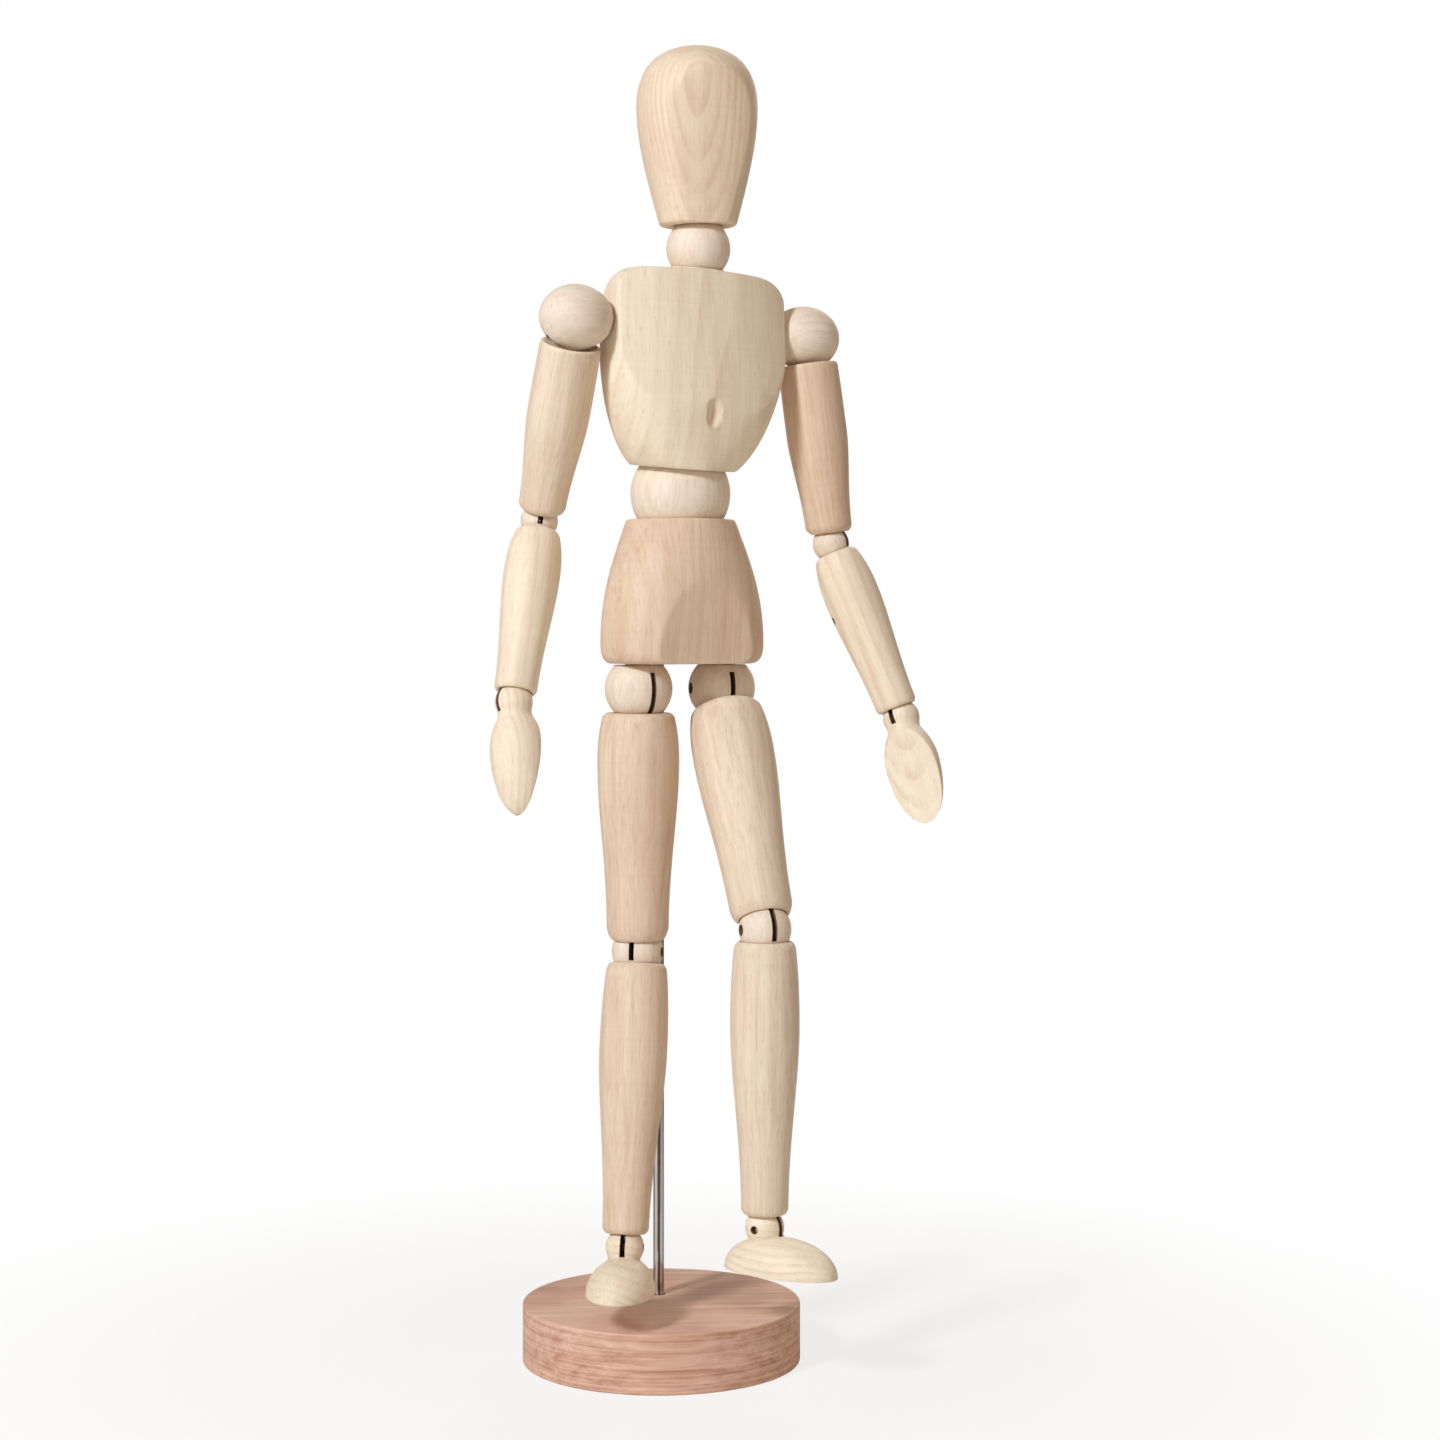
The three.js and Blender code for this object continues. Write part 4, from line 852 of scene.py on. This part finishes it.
# Hand: ball, neck and teardrop turned in one, with a flat palm towards the body
def makeHand(s, side):
    ball, slim, r, widest, tip = s["ball"], s["neck"], s["radius"], -s["widestAt"], -s["length"]
    neck = -math.sqrt(ball ** 2 - slim ** 2)
    outline = (
        ballArc(ball, math.pi / 2, math.asin(neck / ball), 44)
        + bezier(
            44, (slim, neck), (mix(slim, r, 0.5), mix(neck, widest, 0.22)),
            (r, mix(neck, widest, 0.55)), (r, widest))[1:]
        + bezier(60, (r, widest), (r, mix(widest, tip, 0.48)), (r * 0.66, tip), (0, tip))[1:]
    )
    outline = easeCorner(outline, neck, s["neckEase"])
    slope = math.atan((s["palmAtWrist"] - s["palmAtTip"]) / (s["length"] + neck))
    turn = math.radians(s["leftPalmTurn"] if side > 0 else s["rightPalmTurn"])
    inward = Vector((-side * math.cos(turn), -math.sin(turn), 0))
    normal = inward * math.cos(slope) - Vector((0, 0, math.sin(slope)))
    reach = (inward * s["palmAtWrist"] + Vector((0, 0, neck))).dot(normal)

    def bend(p):
        return planeOff(p, normal, reach, s["softness"]) if p.z < neck - 1 else p

    cutters = sawAndDrill(ball, s["hole"], s["slotFloor"], Vector((0, 1, 0)))
    return spin(outline, 128, bend), cutters


# Foot: an egg lying along the foot, melted into its ball before the sole is cut
def makeFoot(s, side):
    length, half = s["length"], s["halfWidth"]
    widestAt = length * 0.52
    outline = (
        bezier(50, (0, 0), (half * 0.68, 0), (half * 0.94, widestAt * 0.36), (half, widestAt))
        + bezier(50, (half, widestAt), (half, mix(widestAt, length, 0.55)), (half * 0.55, length), (0, length))[1:]
    )
    egg = spin(outline, 96, lambda p: Vector((p.x, s["heel"] - p.z, s["soleUnder"] - s["soleDepth"] + p.y)))
    reworked(egg, lambda bm: bmesh.ops.create_uvsphere(bm, u_segments=64, v_segments=40, radius=s["ball"]))

    def planeSole(bm):
        everything = bm.verts[:] + bm.edges[:] + bm.faces[:]
        planed = bmesh.ops.bisect_plane(
            bm, geom=everything, plane_co=(0, 0, -s["soleDepth"]), plane_no=(0, 0, -1), clear_outer=True)
        rim = [e for e in planed["geom_cut"] if isinstance(e, bmesh.types.BMEdge)]
        bmesh.ops.edgeloop_fill(bm, edges=rim)

    foot = reworked(melt(egg, s), planeSole)
    return foot, sawAndDrill(s["ball"], s["hole"], s["slotFloor"], Vector((-side, 0, 0)))


def melt(mesh, s):
    made = linked("melting", mesh)
    joinUp = made.modifiers.new("joinUp", "REMESH")
    joinUp.mode = "VOXEL"
    joinUp.voxel_size = s["meltStep"]
    soften = made.modifiers.new("soften", "SMOOTH")
    soften.factor = 0.5
    soften.iterations = s["meltRounds"]
    return settled(made)


# A node tree with named sizes: build makes the shape from them.
def shapeTree(name, sizes, material, build):
    tree = bpy.data.node_groups.new(name, "GeometryNodeTree")
    face = tree.interface
    face.new_socket("Geometry", in_out="INPUT", socket_type="NodeSocketGeometry")
    for size in sizes:
        face.new_socket(size, in_out="INPUT", socket_type="NodeSocketFloat")
    face.new_socket("Geometry", in_out="OUTPUT", socket_type="NodeSocketGeometry")
    shape = build(tree, addNode(tree, "NodeGroupInput").outputs)
    whole = addNode(tree, "GeometryNodeRealizeInstances", {"Geometry": shape})
    dress = {"Geometry": whole.outputs["Geometry"], "Material": material}
    dressed = addNode(tree, "GeometryNodeSetMaterial", dress)
    addNode(tree, "NodeGroupOutput", {"Geometry": dressed.outputs["Geometry"]})
    return tree


# a short turned pin with chamfered ends
def pinShape(tree, given):
    chamfer, radius = given["Chamfer"], given["Radius"]
    depth = maths(tree, "MULTIPLY_ADD", chamfer, -2.0, given["Length"])
    sizes = {"Vertices": 32, "Radius": radius, "Depth": depth}
    shank = addNode(tree, "GeometryNodeMeshCylinder", sizes, fill_type="NGON").outputs
    shape = shank["Mesh"]
    shrink = maths(tree, "SUBTRACT", 1.0, maths(tree, "DIVIDE", chamfer, radius))
    for face in ("Top", "Bottom"):
        inputs = {"Mesh": shape, "Selection": shank[face], "Offset Scale": chamfer}
        pulled = addNode(tree, "GeometryNodeExtrudeMesh", inputs, mode="FACES").outputs
        inputs = {"Geometry": pulled["Mesh"], "Selection": pulled["Top"], "Scale": shrink}
        shape = addNode(tree, "GeometryNodeScaleElements", inputs, domain="FACE").outputs["Geometry"]
    return shape


# a spring's wire, which follows its path of hooks and coils
def wireShape(tree, given):
    ring = addNode(tree, "GeometryNodeCurvePrimitiveCircle", {"Resolution": 7, "Radius": given["Wire radius"]})
    inputs = {"Curve": given["Geometry"], "Profile Curve": ring.outputs["Curve"], "Fill Caps": True}
    return addNode(tree, "GeometryNodeCurveToMesh", inputs).outputs["Mesh"]


pinNodes = shapeTree("crossPin", ("Radius", "Length", "Chamfer"), pinSteel, pinShape)
wireNodes = shapeTree("woundWire", ("Wire radius",), wireSteel, wireShape)


def grow(holder, tree, values):
    modifier = holder.modifiers.new("grow", "NODES")
    modifier.node_group = tree
    for item in tree.interface.items_tree:
        if item.in_out == "INPUT" and item.name in values:
            modifier[item.identifier] = values[item.name]
    return reworked(settled(holder), lambda bm: bmesh.ops.remove_doubles(bm, verts=bm.verts, dist=0.001))


pinChamfer = 0.15


def addPin(name, place, body, radius, start, end):
    start, end = Vector(start), Vector(end)
    holder = linked("pin", bpy.data.meshes.new("pin"))
    mesh = grow(holder, pinNodes, {"Radius": radius, "Length": (end - start).length, "Chamfer": pinChamfer})
    turn = (end - start).to_track_quat("Z", "Y").to_matrix().to_4x4()
    mesh.transform(Matrix.Translation((start + end) / 2) @ turn)
    showPiece(name, mesh, place, body, "bright_steel", 30)


springSizes = dict(wire=0.4, pitch=1.0, coilSteps=14, hookSteps=24, hookSweep=300)


def hookPath(centre, towards, pinAxis, radius):
    centre, out = Vector(centre), Vector(towards).normalized()
    across = Vector(pinAxis).normalized().cross(out)
    path, steps = [], springSizes["hookSteps"]
    for i in range(steps + 1):
        angle = math.radians(mix(springSizes["hookSweep"], 0, i / steps))
        path.append(centre + (out * math.cos(angle) + across * math.sin(angle)) * radius)
    return path


def coilPath(start, end, radius):
    start, end = Vector(start), Vector(end)
    along = (end - start).normalized()
    u = along.orthogonal().normalized()
    v = along.cross(u)
    steps = max(3, round((end - start).length / springSizes["pitch"])) * springSizes["coilSteps"]
    path = []
    for i in range(steps + 1):
        angle = 2 * math.pi * i / springSizes["coilSteps"]
        path.append(start.lerp(end, i / steps) + (u * math.cos(angle) + v * math.sin(angle)) * radius)
    return path


# A spring's wire, drawn from start to end along its path.
def addSpring(name, place, path, part=""):
    curve = bpy.data.curves.new("wire", "CURVE")
    curve.dimensions = "3D"
    line = curve.splines.new("POLY")
    line.points.add(len(path) - 1)
    for point, p in zip(line.points, path):
        point.co = (*p, 1.0)
    mesh = grow(linked("wire", curve), wireNodes, {"Wire radius": springSizes["wire"]})
    piece = showPiece(name, mesh, place, None, "spring_steel", 50, part)
    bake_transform(piece)


# A spring down a limb's bore from pin to pin.
def addLimbSpring(limb, place, s, topAxis, footAxis, shift=0):
    spring, top, foot = limb + "_spring", s.get("pinAt", 0), s["length"]
    start, end = Vector((0, 0, -top - s["coilGaps"][0])), Vector((0, 0, s["coilGaps"][1] - foot))
    upper = hookPath((0, shift, -top), (0, 0, -1), topAxis, s["hooks"][0])
    lower = hookPath((0, 0, -foot), (0, 0, 1), footAxis, s["hooks"][1])
    path = upper + coilPath(start, end, s["bore"] - fit - springSizes["wire"]) + lower[::-1]
    addSpring(spring, place, path)


def turnedX(degrees):
    return Vector((math.cos(math.radians(degrees)), math.sin(math.radians(degrees)), 0))


# A pin across a ball or limb, driven in from the side that the axis points to
def crossPin(name, place, body, hole, woodRadius, axis, height=0):
    level = Vector((0, 0, height))
    addPin(name, place, body, hole - fit, axis * (pinSkin + fit - woodRadius) + level, axis * (woodRadius - 1) + level)


# How dark each limb's timber is; the darkening of the left upper arm and the right thigh is painted shade
limbTanAndShade = dict(right_thigh=0.6, left_thigh=0.3, right_shin=0.45, right_upper_arm=0.25, left_upper_arm=0.8)


def addLimb(name, place, sizes, pith, pinAxis=None):
    cutters = []
    if pinAxis:
        level = Vector((0, 0, -sizes["pinAt"]))
        cutters = [holeCutter(pinAxis * (pinSkin - sizes["belly"]) + level, pinAxis * 20 + level, pinHole)]
        crossPin(name + "_pin", place, name, pinHole, sizes["belly"], pinAxis, -sizes["pinAt"])
    finish = smoothWood if "forearm" in name else paleWood
    woodPiece(name, makeLimb(sizes), place, finish, pith, cutters, tan=limbTanAndShade.get(name, 0.1))


def addBall(name, body, place, sizes, pinAxis, pith):
    cutters = sawAndDrill(sizes["radius"], sizes["hole"], sizes["slotFloor"], pinAxis)
    woodPiece(name + "_ball", peggedBall(sizes["radius"]), place, ballWood, pith, cutters, body=body)
    crossPin(name + "_pin", place, body, sizes["hole"], sizes["radius"], pinAxis)


# Turns about the limbs at rest, in degrees
restTurn = dict(
    left=dict(arm=34.0, hand=-6.0, wrist=16.0, thigh=1.0, foot=34.0, ankle=1.0),
    right=dict(arm=-23.0, hand=23.0, wrist=14.0, thigh=-42.0, foot=7.0, ankle=7.0),
)
backward = Vector((0, 1, 0))


def addArm(side, name):
    rest = restTurn[name]
    ball, arm, fore, hand = (f"{name}_{part}" for part in ("shoulder_ball", "upper_arm", "forearm", "hand"))
    shoulder, elbow, wrist = (jointPoint(f"{name}_{part}") for part in ("shoulder_swing", "elbow", "wrist"))
    swingAxis, liftAxis = jointAxis(f"{name}_shoulder_swing", -1), jointAxis(f"{name}_arm_lift", -side)
    armUp, elbowAxis = jointAxis(f"{name}_arm_turn"), jointAxis(f"{name}_elbow", -1)
    turnUp, wristAxis = jointAxis(f"{name}_hand_turn"), jointAxis(f"{name}_wrist", side)

    s = shoulderSizes
    ballPlace = placeAt(shoulder, swingAxis.cross(liftAxis), swingAxis)
    mesh, cutters = makeShoulderBall(s, side)
    woodPiece(ball, mesh, ballPlace, ballWood, (5, 8), cutters, "x")
    crossPin(f"{name}_shoulder_pin", ballPlace, ball, s["hole"], s["radius"], backward)

    s = limbSizes["upperArm"]
    addLimb(arm, placeAt(shoulder, armUp, elbowAxis), s, (8 * side, 13))
    liftPlace = placeAt(shoulder, armUp, liftAxis.cross(armUp))
    addLimbSpring(arm, liftPlace, s, backward, turnedX(rest["arm"]), hookShift)

    s = limbSizes["forearm"]
    forePlace = placeAt(elbow, turnUp, elbowAxis)
    anchorTurn = 90 + side * s["pinTurn"]
    addLimb(fore, forePlace, s, (-7 * side, 12), turnedX(anchorTurn))
    addBall(f"{name}_elbow", fore, forePlace, smallBalls["elbow"], Vector((side, 0, 0)), (5, 4))
    turnPlace = placeAt(wrist, turnUp, wristAxis.cross(turnUp)) @ Matrix.Translation((0, 0, s["length"]))
    addLimbSpring(fore, turnPlace, s, turnedX(anchorTurn - rest["hand"]), backward)

    s = handSizes
    handUp = Matrix.Rotation(math.radians(side * rest["wrist"]), 3, wristAxis) @ turnUp
    handPlace = placeAt(wrist, handUp, wristAxis.cross(handUp))
    mesh, cutters = makeHand(s, side)
    woodPiece(hand, mesh, handPlace, ringedWood, (10 * side, 2), cutters, tan=0.0)
    crossPin(f"{name}_wrist_pin", handPlace, hand, s["hole"], s["ball"], backward)


def addLeg(side, name):
    rest = restTurn[name]
    ball, thigh, shin, foot = (f"{name}_{part}" for part in ("hip_ball", "thigh", "shin", "foot"))
    hip, knee, ankle = (jointPoint(f"{name}_{part}") for part in ("hip_swing", "knee", "ankle"))
    hipAxis, kneeAxis, ankleAxis = (jointAxis(f"{name}_{part}", -1) for part in ("hip_swing", "knee", "ankle"))
    thighUp, shinUp = jointAxis(f"{name}_thigh_turn"), jointAxis(f"{name}_foot_turn")
    inward = Vector((-side, 0, 0))

    s = hipSizes
    ballPlace = placeAt(hip, Vector((0, 0, 1)), hipAxis)
    mesh, cutters = makeHipBall(s, inward)
    woodPiece(ball, mesh, ballPlace, ballWood, (7, 9), cutters)
    crossPin(f"{name}_hip_pin", ballPlace, ball, s["hole"], s["radius"], inward)

    s = limbSizes["thigh"]
    addLimb(thigh, placeAt(hip, thighUp, kneeAxis), s, (11 * side, 15))
    addLimbSpring(thigh, placeAt(hip, thighUp, hipAxis), s, (1, 0, 0), turnedX(rest["thigh"]))

    s = limbSizes["shin"]
    shinPlace = placeAt(knee, shinUp, kneeAxis)
    addLimb(shin, shinPlace, s, (-9 * side, 14), backward)
    addBall(f"{name}_knee", shin, shinPlace, smallBalls["knee"], inward, (6, 5))
    turnPlace = placeAt(ankle, shinUp, ankleAxis) @ Matrix.Translation((0, 0, s["length"]))
    addLimbSpring(shin, turnPlace, s, turnedX(90 - rest["foot"]), (1, 0, 0))

    s = footSizes
    footUp = Matrix.Rotation(math.radians(rest["ankle"]), 3, ankleAxis) @ shinUp
    footPlace = placeAt(ankle, footUp, ankleAxis)
    mesh, cutters = makeFoot(s, side)
    woodPiece(foot, mesh, footPlace, ringedWood, (2 * side, 14), cutters, "y", tan=0.0)
    crossPin(f"{name}_ankle_pin", footPlace, foot, s["hole"], s["ball"], inward)


for side, name in sides:
    addArm(side, name)
    addLeg(side, name)
print("limbs made")


# pins and springs of the trunk
for s, name, place, back in (
    (pelvisSizes, "pelvis", pelvisPlace, pelvisSizes["halfDepth"]),
    (headSizes, "head", headPlace @ headLift, headSizes["radius"]),
):
    addPin(name + "_pin", place, name, s["pin"], (0, -5.3, s["pinHeight"]), (0, back - 2, s["pinHeight"]))

s = chestSizes
shoulderZ = s["show"] + s["shoulderHeight"]
spread = (jointPoint("left_shoulder_swing") - jointPoint("right_shoulder_swing")).length / 2 / mm
trunkShift, trunkHook = 0.95, 1.1
coilRadius = dict(shoulder=1.25, waist=1.9, neck=1.6)
for side, name in sides:
    middle, inner, outer, end = (Vector((side * x, -hookShift, shoulderZ)) for x in (0, 5.6, spread - 9.9, spread))
    hook = hookPath(end, (-side, 0, 0), (0, 1, 0), bigHook)
    run = [middle] + coilPath(inner, outer, coilRadius["shoulder"]) + hook[::-1]
    addSpring("shoulder_spring", chestPlace, run, name.title())

bendSizes = dict(waist=(9.8, 15.7), neck=(5.0, 9.2), steps=8)  # from the ball's centre


# A trunk spring runs straight through its ball and bends where it leaves it.
def bendLine(start, end):
    reaches = [0] + [mix(start, end, i / bendSizes["steps"]) for i in range(bendSizes["steps"])]
    return Vector((0, 0, start)), Vector((0, 0, end)), [Vector((0, 0, z)) for z in reaches]


toPelvis = (chestPlace.inverted() @ pelvisPlace).to_3x3().normalized()
pinDrop = s["show"] + pelvisSizes["height"] - pelvisSizes["pinHeight"]
upper = hookPath((-trunkShift, -hookShift, shoulderZ), (0, 0, -1), (1, 0, 0), trunkHook)
lower = hookPath((0, 0, -pinDrop), (0, 0, 1), (0, 1, 0), bigHook)
lower = [toPelvis @ p for p in lower]
start, end, line = bendLine(*bendSizes["waist"])
upper += coilPath((0, 0, shoulderZ - 5.8), end, coilRadius["waist"]) + line[::-1]
addSpring("waist_spring", chestPlace, upper, "Upper")
lower += [-(toPelvis @ p) for p in [end] + line[::-1]]
addSpring("waist_spring", chestPlace, lower, "Lower")

neckRise = s["show"] + s["height"] + s["neckShow"]
toHead = (chestPlace.inverted() @ headPlace).to_3x3().normalized()
neckPlace = chestPlace @ Matrix.Translation((0, 0, neckRise))
pinRise = headSizes["show"] + headSizes["pinHeight"]
lower = hookPath((trunkShift, -hookShift, shoulderZ - neckRise), (0, 0, 1), (1, 0, 0), trunkHook)
upper = hookPath((0, 0, pinRise), (0, 0, -1), (0, 1, 0), littleHook)
start, end, line = bendLine(*bendSizes["neck"])
lower += [-p for p in [end] + line[::-1]]
addSpring("neck_spring", neckPlace, lower, "Lower")
upper = [toHead @ p for p in line + coilPath(end, (0, 0, pinRise - 4), coilRadius["neck"]) + upper[::-1]]
addSpring("neck_spring", neckPlace, upper, "Upper")
print("pins and springs made")


# Camera at the photograph's angle
cameraSizes = dict(azimuth=-29.0, distance=0.640, aside=0.0133, height=0.1681, lens=70.33, shiftDown=-0.0701)
s = cameraSizes
turn = math.radians(s["azimuth"])
rightward = Vector((math.cos(turn), math.sin(turn), 0))
away = Vector((-math.sin(turn), math.cos(turn), 0))
cameraData = bpy.data.cameras.new("camera")
cameraData.lens = s["lens"]
cameraData.sensor_width = 36
cameraData.shift_y = s["shiftDown"]
camera = linked("camera", cameraData)
camera.location = rightward * s["aside"] - away * s["distance"] + Vector((0, 0, s["height"]))
camera.rotation_euler = (math.pi / 2, 0, turn)
bpy.context.scene.camera = camera

# Light: a soft box at the upper left, weak wide ones in front and behind, a warm pale room
lampSizes = dict(
    key=dict(aside=-0.58, ahead=0.82, height=0.76, size=0.24, power=10.0, tint=(0.94, 1.0, 1.07)),
    front=dict(aside=0.32, ahead=1.04, height=0.67, size=0.9, power=0.9, tint=(1.0, 0.94, 0.88)),
    back=dict(aside=0.44, ahead=-1.04, height=0.81, size=0.8, power=4.2, tint=(1.0, 0.97, 0.93)),
)
aim = Vector((0, 0, 0.16))
for name, s in lampSizes.items():
    lampData = bpy.data.lights.new(name + "Lamp", "AREA")
    lampData.shape = "DISK"
    lampData.size = s["size"]
    lampData.energy = s["power"]
    lampData.color = s["tint"]
    lamp = linked(name + "Lamp", lampData)
    lamp.location = rightward * s["aside"] - away * s["ahead"] + Vector((0, 0, s["height"]))
    lamp.rotation_euler = (aim - lamp.location).to_track_quat("-Z", "Y").to_euler()


def shaderMix(tree, when, other, chosen):
    return addNode(tree, "ShaderNodeMixShader", {0: when, 1: other.outputs[0], 2: chosen.outputs[0]})


# What polished steel reflects of the room: dark gaps between pale walls, by bearing from the camera side.
roomSizes = dict(
    ambient=0.285, tint=(1.0, 0.76, 0.58),
    walls=(
        (0.0, 0.5), (0.28, 0.75), (0.325, 0.02), (0.425, 0.02), (0.465, 0.8), (0.565, 0.7), (0.605, 0.03), (0.7, 0.03),
        (0.74, 0.45), (1.0, 0.3),
    ),
)
s = roomSizes
world = bpy.data.worlds.new("room")
bpy.context.scene.world = world
world.use_nodes = True
tree = world.node_tree
backdrop = tree.nodes["Background"]
feed(tree, backdrop, {"Color": (1, 1, 1, 1), "Strength": 1.0})
soft = addNode(tree, "ShaderNodeBackground", {"Color": (*s["tint"], 1), "Strength": s["ambient"]})
heading = addNode(tree, "ShaderNodeTexCoord").outputs["Generated"]
across, ahead = (vectorMaths(tree, "DOT_PRODUCT", heading, axis)["Value"] for axis in (rightward, -away))
bearing = remap(tree, maths(tree, "ARCTAN2", across, ahead), -math.pi, math.pi, smooth=False)
walls = addNode(tree, "ShaderNodeValToRGB", {0: bearing})
for i, (at, level) in enumerate(s["walls"]):
    stop = walls.color_ramp.elements[i] if i < 2 else walls.color_ramp.elements.new(at)
    stop.position = at
    stop.color = (level, level, level, 1)
mirrored = addNode(tree, "ShaderNodeBackground", {"Color": walls.outputs[0]})
rays = addNode(tree, "ShaderNodeLightPath").outputs
lit = shaderMix(tree, rays["Is Glossy Ray"], soft, mirrored)
shown = shaderMix(tree, rays["Is Camera Ray"], lit, backdrop)
feed(tree, tree.nodes["World Output"], {"Surface": shown.outputs[0]})

floorSizes = dict(
    half=3.0, paper=(0.86, 0.84, 0.80), roughness=0.9, specular=0.1, fadeFrom=0.05, fadeTo=0.24, fadeLeast=0.75,
)
s = floorSizes
half = s["half"]
floorMesh = bpy.data.meshes.new("floor")
corners = [(x, y, 0) for x, y in ((-half, -half), (half, -half), (half, half), (-half, half))]
floorMesh.from_pydata(corners, [], [(0, 1, 2, 3)])
floor = linked("floor", floorMesh)
paper, tree, shader = newMaterial("paper")
look = {"Base Color": (*s["paper"], 1), "Roughness": s["roughness"], "Specular IOR Level": s["specular"]}
feed(tree, shader, look)
where = addNode(tree, "ShaderNodeTexCoord").outputs["Object"]
far = vectorMaths(tree, "LENGTH", where)["Value"]
fade = remap(tree, far, s["fadeFrom"], s["fadeTo"], s["fadeLeast"], 1.0)
glow = addNode(tree, "ShaderNodeEmission", {"Color": (1, 1, 1, 1)})
seen = addNode(tree, "ShaderNodeLightPath").outputs["Is Camera Ray"]
shown = shaderMix(tree, maths(tree, "MULTIPLY", seen, fade), shader, glow)
feed(tree, tree.nodes["Material Output"], {"Surface": shown.outputs[0]})
floorMesh.materials.append(paper)
bpy.context.scene.view_settings.view_transform = "Standard"
print("camera, light and floor made")
